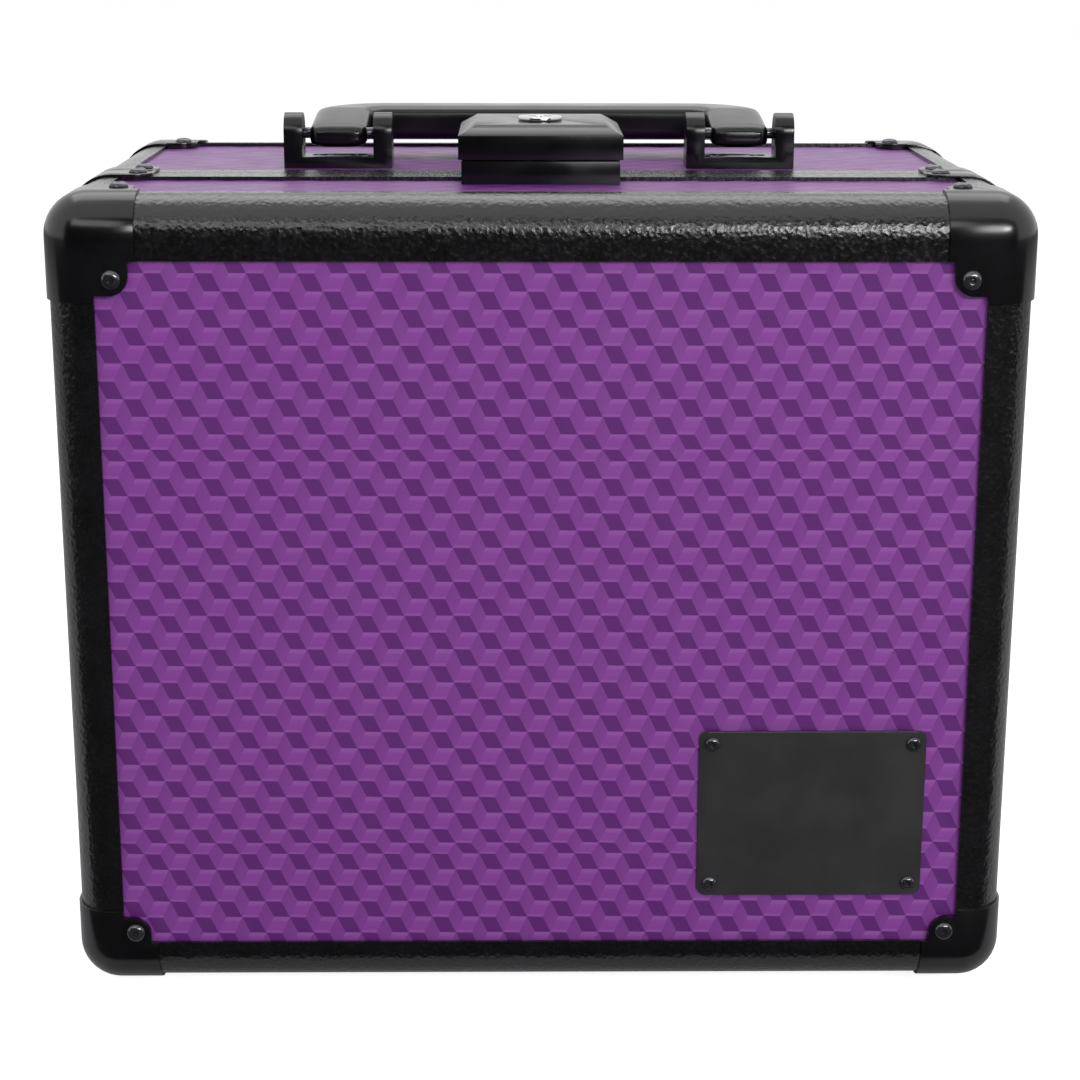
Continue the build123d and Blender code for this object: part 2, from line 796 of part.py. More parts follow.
def latch_block(y_start, y_end, lip_start, lip_end):
    """Block on the top board that steps over the seam lip between two Y positions."""
    with Locations((0, (y_start + y_end) / 2, panel_top)):
        Box(latch_width, y_end - y_start, latch_height, align=(Align.CENTER, Align.CENTER, Align.MIN))
    with Locations((0, (lip_start + lip_end) / 2, panel_top)):
        Box(
            2 * latch_width, lip_end - lip_start, skin,
            align=(Align.CENTER, Align.CENTER, Align.MIN), mode=Mode.SUBTRACT,
        )


def pocket(y_start, y_end, floor_z):
    """Well for the lock's cam, open at the top."""
    with Locations((0, (y_start + y_end) / 2, floor_z)):
        Box(
            2 * pocket_half, y_end - y_start, 2 * latch_height,
            align=(Align.CENTER, Align.CENTER, Align.MIN), mode=Mode.SUBTRACT,
        )


with BuildPart() as latch_strike:
    latch_block(latch_front_y, strike_back_y, lid_face - lid_seam_lip, lid_face)
    pocket(lock_y - pocket_half, strike_back_y, panel_top + strike_floor)
    with Locations((0, lock_y - post_offset, top_z)):
        Box(post_width, post_depth, latch_height - skin, align=(Align.CENTER, Align.CENTER, Align.MIN))
    screw_wells(strike_screw_seats)
latch_strike.part.label = "latch_strike"
export_step(latch_strike.part, "parts/latch_strike.step")

with BuildPart() as latch_base:
    latch_block(latch_base_front_y, latch_back_y, base_face, base_face + base_seam_lip)
    swing_edge = latch_base.edges().filter_by(Axis.X).group_by(Axis.Y)[-1].sort_by(Axis.Z)[-1]
    fillet(swing_edge, min(latch_back_y - pin_y, strike_top - pin_z) - running_gap)
    pocket(latch_base_front_y, lock_y + pocket_half, top_z)
    for side in (-1, 1):
        with Locations((side * cheek_offset, pin_y - cheek_radius - cheek_gap, panel_top)):
            Box(
                cheek_width + 2 * cheek_gap, 4 * cheek_radius, latch_height,
                align=(Align.CENTER, Align.MIN, Align.MIN), mode=Mode.SUBTRACT,
            )
    with Locations(Plane(origin=(0, pin_y, pin_z), x_dir=(0, 1, 0), z_dir=(1, 0, 0))):
        Cylinder(cover_pin_radius, 2 * latch_width, mode=Mode.SUBTRACT)
    screw_wells(latch_base_screw_seats)
latch_base.part.label = "latch_base"
export_step(latch_base.part, "parts/latch_base.step")

with BuildPart() as latch_pin:
    with Locations(Plane(origin=(0, pin_y, pin_z), x_dir=(0, 1, 0), z_dir=(1, 0, 0))):
        Cylinder(cover_pin_radius, latch_width)
latch_pin.part.label = "latch_pin"
export_step(latch_pin.part, "parts/latch_pin.step")


def latch_screws(places):
    """Pan head screws sunk in the latch's wells."""
    fasteners(places, screw_radius, latch_screw_grip, screw_head, rivet_crown, rivet_rim, screw_head_height)


with BuildPart() as strike_screws:
    latch_screws(strike_screw_seats)
strike_screws.part.label = "strike_screws"
export_step(strike_screws.part, "parts/strike_screws.step")

with BuildPart() as latch_base_screws:
    latch_screws(latch_base_screw_seats)
latch_base_screws.part.label = "latch_base_screws"
export_step(latch_base_screws.part, "parts/latch_base_screws.step")

cover_bottom_z = panel_top + latch_height + cover_gap
cover_top_z = panel_top + cover_height
cover_edge_z = panel_top + cover_edge_height


def bevelled_block(inset, height_cut):
    """Cover's outline shrunk by the inset, its front and side top edges bevelled together."""
    front = latch_front_y + inset
    back = latch_front_y + cover_depth - inset
    half = cover_width / 2 - inset
    top = cover_top_z - inset
    edge = cover_edge_z - inset
    foot = cover_bottom_z - height_cut
    with BuildPart() as block:
        with BuildSketch(Plane(origin=(0, 0, 0), x_dir=(0, 1, 0), z_dir=(1, 0, 0))):
            with BuildLine():
                Polyline(
                    (front, foot), (back, foot), (back, top), (front + cover_bevel, top), (front, edge),
                    close=True,
                )
            make_face()
        extrude(amount=half, both=True)
        with BuildSketch(Plane(origin=(0, 0, 0), x_dir=(1, 0, 0), z_dir=(0, -1, 0))):
            with BuildLine():
                Polyline(
                    (-half, foot), (half, foot), (half, edge), (half - cover_bevel, top),
                    (cover_bevel - half, top), (-half, edge), close=True,
                )
            make_face()
        extrude(amount=case_depth, both=True, mode=Mode.INTERSECT)
    return block.part


cover_shell = bevelled_block(0, 0)
cover_hollow = bevelled_block(cover_wall, cover_wall)

with BuildPart() as latch_cover:
    add(cover_shell)
    add(cover_hollow, mode=Mode.SUBTRACT)
    for side in (-1, 1):
        with Locations((side * cheek_offset, pin_y, pin_z)):
            Box(
                cheek_width, 2 * cheek_radius, cover_top_z - cover_wall - pin_z,
                align=(Align.CENTER, Align.CENTER, Align.MIN),
            )
        with Locations(Plane(origin=(side * cheek_offset, pin_y, pin_z), x_dir=(0, 1, 0), z_dir=(1, 0, 0))):
            Cylinder(cheek_radius, cheek_width)
    with Locations(Plane(origin=(0, pin_y, pin_z), x_dir=(0, 1, 0), z_dir=(1, 0, 0))):
        Cylinder(cover_pin_radius + running_gap, latch_width, mode=Mode.SUBTRACT)
    with Locations((0, lock_y, cover_top_z)):
        Cylinder(lock_body_radius, 4 * cover_wall, mode=Mode.SUBTRACT)
latch_cover.part.label = "latch_cover"
export_step(latch_cover.part, "parts/latch_cover.step")

flange_top_z = cover_top_z + lock_flange_height
barrel_top_z = flange_top_z - barrel_sink
lock_body_bottom_z = panel_top + lock_body_bottom
cam_z = panel_top + cam_bottom

with BuildPart() as lock_housing:
    with Locations((0, lock_y, cover_top_z)):
        Cylinder(lock_flange_radius, lock_flange_height, align=(Align.CENTER, Align.CENTER, Align.MIN))
        Cylinder(
            lock_body_radius, cover_top_z - lock_body_bottom_z, align=(Align.CENTER, Align.CENTER, Align.MAX)
        )
        Cylinder(barrel_radius + running_gap, 4 * cover_height, mode=Mode.SUBTRACT)
lock_housing.part.label = "lock_housing"
export_step(lock_housing.part, "parts/lock_housing.step")

with BuildPart() as lock_barrel:
    with Locations((0, lock_y, barrel_top_z)):
        Cylinder(
            barrel_radius, barrel_top_z - lock_body_bottom_z, align=(Align.CENTER, Align.CENTER, Align.MAX)
        )
        Box(
            keyway_width, keyway_length, 2 * keyway_depth, mode=Mode.SUBTRACT,
        )
    with Locations((0, lock_y, cam_z + cam_thickness)):
        Cylinder(
            barrel_neck_radius, lock_body_bottom_z - cam_z - cam_thickness,
            align=(Align.CENTER, Align.CENTER, Align.MIN),
        )
lock_barrel.part.label = "lock_barrel"
export_step(lock_barrel.part, "parts/lock_barrel.step")

with BuildPart() as lock_cam:
    with BuildSketch(Plane(origin=(0, lock_y, cam_z), x_dir=(1, 0, 0), z_dir=(0, 0, 1))):
        with BuildLine():
            CenterArc((0, 0), cam_hook_outer, -cam_hook_angle, cam_hook_angle + cam_arm_angle)
            CenterArc((0, 0), cam_hook_inner, -cam_hook_angle, cam_hook_angle + cam_arm_angle)
            for angle in (-cam_hook_angle, cam_arm_angle):
                inner_point = Vector(cam_hook_inner, 0).rotate(Axis.Z, angle)
                outer_point = Vector(cam_hook_outer, 0).rotate(Axis.Z, angle)
                Line(inner_point, outer_point)
        make_face()
        Circle(barrel_neck_radius)
        with Locations(Location((0, 0), cam_arm_angle)):
            Rectangle(cam_hook_outer, cam_arm_width, align=(Align.MIN, Align.CENTER))
        Circle(screw_radius, mode=Mode.SUBTRACT)
    extrude(amount=cam_thickness)
lock_cam.part.label = "lock_cam"
export_step(lock_cam.part, "parts/lock_cam.step")

with BuildPart() as cam_screw:
    with Locations((0, lock_y, cam_z)):
        Cylinder(screw_radius, cam_thickness, align=(Align.CENTER, Align.CENTER, Align.MIN))
        Cylinder(screw_head, screw_head_height, align=(Align.CENTER, Align.CENTER, Align.MAX))
cam_screw.part.label = "cam_screw"
export_step(cam_screw.part, "parts/cam_screw.step")

# Hinges below the seam, knuckles turning on one pin each

hinge_z = bottom_z - knuckle_drop - knuckle_radius
hinge_length = knuckle_count * knuckle_length
knuckle_clear = knuckle_radius + leaf_gap


def hinge_leaves(way, first_knuckle, bore):
    """Both hinges' leaves on one side of the seam, with every second knuckle."""
    for side in (-1, 1):
        start_x = side * hinge_centre - hinge_length / 2
        plate_y = seam_y + way * (knuckle_clear + leaf_width) / 2
        with Locations((side * hinge_centre, plate_y, leaf_face)):
            Box(
                hinge_length, leaf_width - knuckle_clear, leaf_sheet,
                align=(Align.CENTER, Align.CENTER, Align.MIN),
            )
        for number in range(first_knuckle, knuckle_count, 2):
            x = start_x + (number + 0.5) * knuckle_length
            width = knuckle_length - knuckle_gap
            with Locations((x, seam_y + way * knuckle_clear / 2, leaf_face)):
                Box(
                    width, knuckle_clear, leaf_sheet - knuckle_drop,
                    align=(Align.CENTER, Align.CENTER, Align.MIN),
                )
            with Locations(Plane(origin=(x, seam_y, hinge_z), x_dir=(0, 1, 0), z_dir=(1, 0, 0))):
                Cylinder(knuckle_radius, width)
        with Locations(Plane(origin=(0, seam_y, hinge_z), x_dir=(0, 1, 0), z_dir=(1, 0, 0))):
            Cylinder(bore, case_width, mode=Mode.SUBTRACT)
    drill(hinge_seats[way], screw_hole, drill_depth)


with BuildPart() as base_hinge_leaves:
    hinge_leaves(1, 0, hinge_pin_radius)
base_hinge_leaves.part.label = "base_hinge_leaves"
export_step(base_hinge_leaves.part, "parts/base_hinge_leaves.step")

with BuildPart() as lid_hinge_leaves:
    hinge_leaves(-1, 1, hinge_pin_radius + running_gap)
lid_hinge_leaves.part.label = "lid_hinge_leaves"
export_step(lid_hinge_leaves.part, "parts/lid_hinge_leaves.step")

with BuildPart() as hinge_pins:
    for x in (-hinge_centre, hinge_centre):
        with Locations(Plane(origin=(x, seam_y, hinge_z), x_dir=(0, 1, 0), z_dir=(1, 0, 0))):
            Cylinder(hinge_pin_radius, hinge_length)
hinge_pins.part.label = "hinge_pins"
export_step(hinge_pins.part, "parts/hinge_pins.step")

hinge_rivet_grip = leaf_sheet + leg_back


def leaf_rivets(places):
    """Low rivets through the leaf, the seam section and the board."""
    fasteners(places, screw_radius, hinge_rivet_grip, screw_head, rivet_crown, rivet_rim, screw_head_height)


with BuildPart() as lid_hinge_rivets:
    leaf_rivets(hinge_seats[-1])
lid_hinge_rivets.part.label = "lid_hinge_rivets"
export_step(lid_hinge_rivets.part, "parts/lid_hinge_rivets.step")

with BuildPart() as base_hinge_rivets:
    leaf_rivets(hinge_seats[1])
base_hinge_rivets.part.label = "base_hinge_rivets"
export_step(base_hinge_rivets.part, "parts/base_hinge_rivets.step")

# Rubber feet, each held by a screw sunk in its recess


def feet(points):
    """Tapered feet from the floor up to the bottom board."""
    for x, y in points:
        with Locations((x, y, 0)):
            Cone(
                foot_radius - foot_taper, foot_radius, foot_top, align=(Align.CENTER, Align.CENTER, Align.MIN)
            )
            Cylinder(
                foot_recess_radius, foot_recess, align=(Align.CENTER, Align.CENTER, Align.MIN),
                mode=Mode.SUBTRACT,
            )
    drill(foot_seats(points), screw_hole, drill_depth)


def foot_screws(points):
    """Pan head screws that hold the feet."""
    fasteners(
        foot_seats(points), screw_radius, foot_screw_grip, screw_head, rivet_crown, rivet_rim,
        screw_head_height,
    )


with BuildPart() as lid_feet:
    feet(lid_foot_points)
lid_feet.part.label = "lid_feet"
export_step(lid_feet.part, "parts/lid_feet.step")

with BuildPart() as base_feet:
    feet(base_foot_points)
base_feet.part.label = "base_feet"
export_step(base_feet.part, "parts/base_feet.step")

with BuildPart() as lid_foot_screws:
    foot_screws(lid_foot_points)
lid_foot_screws.part.label = "lid_foot_screws"
export_step(lid_foot_screws.part, "parts/lid_foot_screws.step")

with BuildPart() as base_foot_screws:
    foot_screws(base_foot_points)
base_foot_screws.part.label = "base_foot_screws"
export_step(base_foot_screws.part, "parts/base_foot_screws.step")

# Foam lining of the base: a floor, outer walls, end walls and two row dividers

foam_inset = leg_back + rivet_tail + foam_gap
foam_half_x = right_x - foam_inset
foam_low_z = bottom_z + foam_inset
foam_high_z = top_z - foam_inset
foam_back_y = back_y - foam_inset
foam_floor_y = foam_back_y - foam_floor_thickness
foam_front_y = base_face + base_web + foam_below_seam
foam_wall_y = foam_floor_y - foam_gap
foam_wall = (2 * foam_half_x - 3 * row_width) / 4
foam_wall_depth = foam_wall_y - foam_front_y
foam_wall_middle = (foam_wall_y + foam_front_y) / 2
end_span = foam_high_z - foam_low_z
wall_span = end_span - 2 * (foam_end_wall + foam_gap)

with BuildPart() as foam_floor:
    with Locations((0, (foam_back_y + foam_floor_y) / 2, middle_z)):
        Box(2 * foam_half_x, foam_floor_thickness, end_span)
foam_floor.part.label = "foam_floor"
export_step(foam_floor.part, "parts/foam_floor.step")

with BuildPart() as foam_end_walls:
    for z in (foam_low_z + foam_end_wall / 2, foam_high_z - foam_end_wall / 2):
        with Locations((0, foam_wall_middle, z)):
            Box(2 * foam_half_x, foam_wall_depth, foam_end_wall)
foam_end_walls.part.label = "foam_end_walls"
export_step(foam_end_walls.part, "parts/foam_end_walls.step")

with BuildPart() as foam_side_walls:
    for side in (-1, 1):
        with Locations((side * (foam_half_x - foam_wall / 2), foam_wall_middle, middle_z)):
            Box(foam_wall, foam_wall_depth, wall_span)
foam_side_walls.part.label = "foam_side_walls"
export_step(foam_side_walls.part, "parts/foam_side_walls.step")

with BuildPart() as foam_dividers:
    for side in (-1, 1):
        with Locations((side * (row_width + foam_wall) / 2, foam_wall_middle, middle_z)):
            Box(foam_wall, foam_wall_depth, wall_span)
foam_dividers.part.label = "foam_dividers"
export_step(foam_dividers.part, "parts/foam_dividers.step")

with BuildPart() as lid_foam_pad:
    pad_front_y = front_y + foam_inset
    with Locations((0, pad_front_y + lid_pad_thickness / 2, middle_z)):
        Box(2 * foam_half_x, lid_pad_thickness, end_span)
lid_foam_pad.part.label = "lid_foam_pad"
export_step(lid_foam_pad.part, "parts/lid_foam_pad.step")
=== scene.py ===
from math import atan2, ceil, cos, degrees, pi, radians, sin

import bmesh
import bpy
from mathutils import Matrix, Vector, noise


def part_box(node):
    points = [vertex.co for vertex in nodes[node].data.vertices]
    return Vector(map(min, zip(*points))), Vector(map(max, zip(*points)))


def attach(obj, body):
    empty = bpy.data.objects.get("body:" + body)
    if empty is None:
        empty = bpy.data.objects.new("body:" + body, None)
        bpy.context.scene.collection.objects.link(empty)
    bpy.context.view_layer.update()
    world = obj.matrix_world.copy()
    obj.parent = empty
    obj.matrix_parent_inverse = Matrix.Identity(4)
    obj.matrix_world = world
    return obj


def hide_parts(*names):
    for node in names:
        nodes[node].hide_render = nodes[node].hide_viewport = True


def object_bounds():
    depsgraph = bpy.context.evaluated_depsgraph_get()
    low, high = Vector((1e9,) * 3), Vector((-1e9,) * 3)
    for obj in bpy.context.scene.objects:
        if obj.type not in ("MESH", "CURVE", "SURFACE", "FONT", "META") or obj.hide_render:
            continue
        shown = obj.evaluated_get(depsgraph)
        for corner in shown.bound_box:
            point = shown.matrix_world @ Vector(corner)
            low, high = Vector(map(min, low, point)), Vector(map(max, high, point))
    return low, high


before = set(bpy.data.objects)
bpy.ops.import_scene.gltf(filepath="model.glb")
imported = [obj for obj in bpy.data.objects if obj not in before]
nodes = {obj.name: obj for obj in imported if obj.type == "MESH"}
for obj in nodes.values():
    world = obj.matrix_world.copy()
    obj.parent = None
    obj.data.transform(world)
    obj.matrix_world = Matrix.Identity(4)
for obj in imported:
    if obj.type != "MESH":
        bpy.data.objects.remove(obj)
cad_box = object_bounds()

# Camera.
# The case is seen from the front and a little above, through a long lens.

eye = Vector((-0.00895, -0.8556, 0.3773))
pitch = radians(15.19)
turn = radians(0.64)
roll = radians(0.13)

bpy.ops.object.camera_add()
camera = bpy.context.object
camera.name = "camera"
camera.data.lens = 76.6
camera.data.sensor_width = 36.0
camera.data.clip_start = 0.01
camera.matrix_world = (
    Matrix.Translation(eye)
    @ Matrix.Rotation(-turn, 4, "Z")
    @ Matrix.Rotation(radians(90) - pitch, 4, "X")
    @ Matrix.Rotation(roll, 4, "Z")
)
bpy.context.scene.camera = camera
bpy.context.scene.view_settings.view_transform = "Standard"

# Studio.
# A white room with four soft lamps: one on the right, a long one that glints along the top front
# edge, a weak one on the left, and one above and behind. Two black cards, seen in reflections
# alone, keep the black parts deep, and the pale floor keeps the case's soft shadow.


def new_node(tree, kind, inputs=None, **settings):
    """Adds a shader node with its settings and the plain values of its inputs."""
    made = tree.nodes.new("ShaderNode" + kind)
    for name, value in settings.items():
        setattr(made, name, value)
    for name, value in (inputs or {}).items():
        made.inputs[name].default_value = value
    return made


def soft_lamp(name, place, width, height, power):
    """A rectangular lamp that faces the middle of the case."""
    middle = Vector((0.0, 0.0, 0.14))
    bpy.ops.object.light_add(type="AREA", location=place)
    lamp = bpy.context.object
    lamp.name = name
    lamp.data.shape = "RECTANGLE"
    lamp.data.size = width
    lamp.data.size_y = height
    lamp.data.energy = power
    lamp.rotation_euler = (middle - Vector(place)).to_track_quat("-Z", "Y").to_euler()
    return lamp


soft_lamp("lamp_right", (1.1, -1.7, 1.0), 0.5, 0.22, 10.0)
soft_lamp("lamp_strip", (0.62, -1.95, 1.06), 0.75, 0.5, 12.0)
soft_lamp("lamp_left", (-0.6, -1.6, 1.42), 1.5, 0.5, 5.5)
soft_lamp("lamp_over", (0.0, 0.85, 1.75), 2.0, 1.1, 12.5)

world = bpy.data.worlds.new("white_room")
bpy.context.scene.world = world
world.use_nodes = True
room = world.node_tree
ray = new_node(room, "LightPath")
seen = new_node(room, "Math", operation="MAXIMUM")
seen_or_glass = new_node(room, "Math", operation="MAXIMUM")
white = new_node(room, "Background", {"Color": (1.0, 1.0, 1.0, 1.0), "Strength": 1.0})
room_light = room.nodes["Background"]
room_light.inputs["Color"].default_value = (0.92, 0.93, 1.0, 1.0)
room_light.inputs["Strength"].default_value = 0.18
either = new_node(room, "MixShader")
room.links.new(ray.outputs["Is Camera Ray"], seen.inputs[0])
room.links.new(ray.outputs["Is Glossy Ray"], seen.inputs[1])
room.links.new(seen.outputs[0], seen_or_glass.inputs[0])
room.links.new(ray.outputs["Is Transmission Ray"], seen_or_glass.inputs[1])
room.links.new(seen_or_glass.outputs[0], either.inputs["Fac"])
room.links.new(room_light.outputs[0], either.inputs[1])
room.links.new(white.outputs[0], either.inputs[2])
room.links.new(either.outputs[0], room.nodes["World Output"].inputs["Surface"])

bpy.ops.mesh.primitive_circle_add(vertices=64, radius=6.0, fill_type="NGON")
floor = bpy.context.object
floor.name = "floor"
paint = bpy.data.materials.new("pale_floor")
paint.use_nodes = True
paint.node_tree.nodes.remove(paint.node_tree.nodes["Principled BSDF"])
floor_ray = new_node(paint.node_tree, "LightPath")
floor_paint = new_node(paint.node_tree, "BsdfDiffuse", {"Color": (0.9, 0.9, 0.9, 1.0)})
floor_glow = new_node(paint.node_tree, "Emission", {"Color": (1.0, 1.0, 1.0, 1.0)})
floor_lift = new_node(paint.node_tree, "Math", operation="MULTIPLY")
floor_lift.inputs[1].default_value = 0.88
floor_sum = new_node(paint.node_tree, "AddShader")
paint.node_tree.links.new(floor_ray.outputs["Is Camera Ray"], floor_lift.inputs[0])
paint.node_tree.links.new(floor_lift.outputs[0], floor_glow.inputs["Strength"])
paint.node_tree.links.new(floor_paint.outputs[0], floor_sum.inputs[0])
paint.node_tree.links.new(floor_glow.outputs[0], floor_sum.inputs[1])
paint.node_tree.links.new(
    floor_sum.outputs[0], paint.node_tree.nodes["Material Output"].inputs["Surface"]
)
floor.data.materials.append(paint)

card_width = 8.0
card_height = 3.2
card_far_y = -2.6
card_near_y = -0.114
card_lift = 0.002
black = bpy.data.materials.new("card_black")
black.use_nodes = True
black_shader = black.node_tree.nodes["Principled BSDF"]
black_shader.inputs["Base Color"].default_value = (0.01, 0.01, 0.01, 1.0)
black_shader.inputs["Roughness"].default_value = 0.9
for name, place, tilt, length in (
    ("card_behind_camera", (0, card_far_y, card_height / 2), 90, card_height),
    ("card_on_floor", (0, (card_far_y + card_near_y) / 2, card_lift), 0, card_near_y - card_far_y),
):
    bpy.ops.mesh.primitive_plane_add(size=1.0, location=place, rotation=(radians(tilt), 0, 0))
    card = bpy.context.object
    card.name = name
    card.scale = (card_width, length, 1.0)
    card.data.materials.append(black)
    card.visible_camera = False
    card.visible_shadow = False
    card.visible_diffuse = False

# Embossed boards.
# Plywood faced with glossy purple laminate, pressed with a pattern of tumbling blocks, each side
# tilted a little. The sides' colours are painted light and shade: one side painted dark as shade, a
# middling half-lit side and one painted pale as light, with painted highlights along its ridges.
# Where the pressing roller starts its next turn, two rows of blocks are shorter.

cube_edge = 0.0169 / 3
row_height = 0.00605
relief = 0.00032
block_middle_x = 0.0909
block_middle_z = 0.2573
roller_starts = (0.2086, 0.0663)
short_rows = (0.0052, 0.0041)
shallow = 0.25
# Painted light tones of the blocks' sides (shaded, half-lit, lit) and the colours the ramp gives them, with
# painted highlights near the lit side's edges.
plain_tone = 0.33
shaded_side_tone = 0.1
half_lit_side_tones = (0.28, 0.38)
lit_side_tone = 0.5
painted_light_colors = (
    (0.0, (103, 38, 122)), (0.2, (103, 38, 122)),
    (0.25, (124, 56, 142)), (0.4, (133, 62, 151)),
    (0.5, (150, 82, 168)), (0.58, (150, 82, 168)),
    (0.66, (140, 68, 158)), (0.9, (137, 65, 155)), (0.94, (148, 78, 166)),
)


def linear(red, green, blue):
    """Linear colour of an 8-bit display colour."""
    shades = []
    for value in (red, green, blue):
        part = value / 255
        shades.append(part / 12.92 if part <= 0.04045 else ((part + 0.055) / 1.055) ** 2.4)
    return tuple(shades)


def noise_group(name, outputs):
    """An empty node group that takes a size in metres, with its coordinates ready."""
    tree = bpy.data.node_groups.new(name, "ShaderNodeTree")
    tree.interface.new_socket("Size", in_out="INPUT", socket_type="NodeSocketFloat")
    for output in outputs:
        tree.interface.new_socket(output, in_out="OUTPUT", socket_type="NodeSocketFloat")
    given = tree.nodes.new("NodeGroupInput")
    result = tree.nodes.new("NodeGroupOutput")
    place = new_node(tree, "TexCoord")
    scale = new_node(tree, "Math", operation="DIVIDE")
    scale.inputs[0].default_value = 1.0
    tree.links.new(given.outputs["Size"], scale.inputs[1])
    return tree, place.outputs["Object"], scale.outputs[0], result


grain, grain_place, grain_scale, grain_result = noise_group("fine_grain", ("Height", "Patches"))
grain_noise = new_node(grain, "TexNoise", {"Detail": 4.0, "Roughness": 0.6})
grain_wide = new_node(grain, "Math", operation="MULTIPLY")
grain_wide.inputs[1].default_value = 0.035
grain_patches = new_node(grain, "TexNoise", {"Detail": 2.0, "Roughness": 0.5})
grain_spread = new_node(grain, "MapRange", {"From Min": 0.33, "From Max": 0.67})
grain.links.new(grain_place, grain_noise.inputs["Vector"])
grain.links.new(grain_scale, grain_noise.inputs["Scale"])
grain.links.new(grain_scale, grain_wide.inputs[0])
grain.links.new(grain_place, grain_patches.inputs["Vector"])
grain.links.new(grain_wide.outputs[0], grain_patches.inputs["Scale"])
grain.links.new(grain_patches.outputs["Fac"], grain_spread.inputs["Value"])
grain.links.new(grain_noise.outputs["Fac"], grain_result.inputs["Height"])
grain.links.new(grain_spread.outputs[0], grain_result.inputs["Patches"])


def put_group(tree, group, size):
    """Places a node group in a material, with its size in metres."""
    made = tree.nodes.new("ShaderNodeGroup")
    made.node_tree = group
    made.inputs["Size"].default_value = size
    return made


def finish(name, color, second, roughness, grain_size, grain_depth, **fixed):
    """A finish with two shades in soft patches, uneven gloss and a fine grain.

    The colours are linear, roughness is its lowest and highest value, and the grain's size
    and depth are in metres. Other inputs of the shader are set as given."""
    material = bpy.data.materials.new(name)
    material.use_nodes = True
    tree = material.node_tree
    shader = tree.nodes["Principled BSDF"]
    for socket, value in fixed.items():
        shader.inputs[socket.replace("_", " ")].default_value = value
    pattern = put_group(tree, grain, grain_size)
    shade = new_node(tree, "Mix", data_type="RGBA")
    shade.inputs["A"].default_value = (*color, 1.0)
    shade.inputs["B"].default_value = (*second, 1.0)
    gloss = new_node(tree, "MapRange", {"To Min": roughness[0], "To Max": roughness[1]})
    bump = new_node(tree, "Bump", {"Strength": 1.0, "Distance": grain_depth})
    tree.links.new(pattern.outputs["Patches"], shade.inputs["Factor"])
    tree.links.new(shade.outputs["Result"], shader.inputs["Base Color"])
    tree.links.new(pattern.outputs["Patches"], gloss.inputs["Value"])
    tree.links.new(gloss.outputs[0], shader.inputs["Roughness"])
    tree.links.new(pattern.outputs["Height"], bump.inputs["Height"])
    tree.links.new(bump.outputs["Normal"], shader.inputs["Normal"])
    return material


laminate = finish(
    "purple_laminate", linear(130, 60, 150), linear(130, 60, 150), (0.36, 0.44), 0.0004, 0.000006,
)
sides = laminate.node_tree
# The block sides' colours are painted light and shade: the ramp turns each facet's painted light tone into a
# shaded, half-lit or lit purple, or a painted highlight.
facet_light_attribute = new_node(sides, "Attribute", attribute_name="painted_facet_light")
facet_light_ramp = new_node(sides, "ValToRGB")
facet_light_ramp.color_ramp.interpolation = "LINEAR"
facet_light_ramp.color_ramp.elements[0].color = (*linear(*painted_light_colors[0][1]), 1.0)
facet_light_ramp.color_ramp.elements[1].color = (*linear(*painted_light_colors[-1][1]), 1.0)
for painted_tone, shade in painted_light_colors[1:]:
    facet_light_ramp.color_ramp.elements.new(painted_tone).color = (*linear(*shade), 1.0)
flecks = put_group(sides, grain, 0.00035)
fleck_tone = new_node(sides, "MapRange", {"From Min": 0.3, "From Max": 0.7, "To Min": 0.93, "To Max": 1.07})
flecked = new_node(sides, "VectorMath", operation="SCALE")
sides.links.new(facet_light_attribute.outputs["Fac"], facet_light_ramp.inputs["Fac"])
sides.links.new(flecks.outputs["Height"], fleck_tone.inputs["Value"])
sides.links.new(facet_light_ramp.outputs["Color"], flecked.inputs[0])
sides.links.new(fleck_tone.outputs[0], flecked.inputs["Scale"])
sides.links.new(flecked.outputs[0], sides.nodes["Principled BSDF"].inputs["Base Color"])


def select(piece, kind, wanted):
    """Selects a piece's verts, edges or faces by a test, for the next operator in edit mode."""
    bpy.ops.mesh.select_mode(type={"verts": "VERT", "edges": "EDGE", "faces": "FACE"}[kind])
    bpy.ops.mesh.select_all(action="DESELECT")
    shape = bmesh.from_edit_mesh(piece.data)
    for part in getattr(shape, kind):
        if wanted(part):
            part.select_set(True)
    shape.select_flush_mode()
    bmesh.update_edit_mesh(piece.data)


def apply_modifier(piece, kind, **settings):
    """Adds a modifier with its settings and applies it."""
    modifier = piece.modifiers.new(kind.lower(), kind)
    for name, value in settings.items():
        setattr(modifier, name, value)
    bpy.context.view_layer.objects.active = piece
    bpy.ops.object.modifier_apply(modifier=modifier.name)


def repeat(piece, step, count):
    """Repeats a piece along a step and joins the copies where they meet."""
    apply_modifier(
        piece, "ARRAY", use_relative_offset=False, use_constant_offset=True,
        constant_offset_displace=step, count=count, use_merge_vertices=True, merge_threshold=1e-5,
    )


def dress(piece, body, material):
    """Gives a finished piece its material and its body."""
    piece.data.materials.clear()
    piece.data.materials.append(material)
    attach(piece, body)


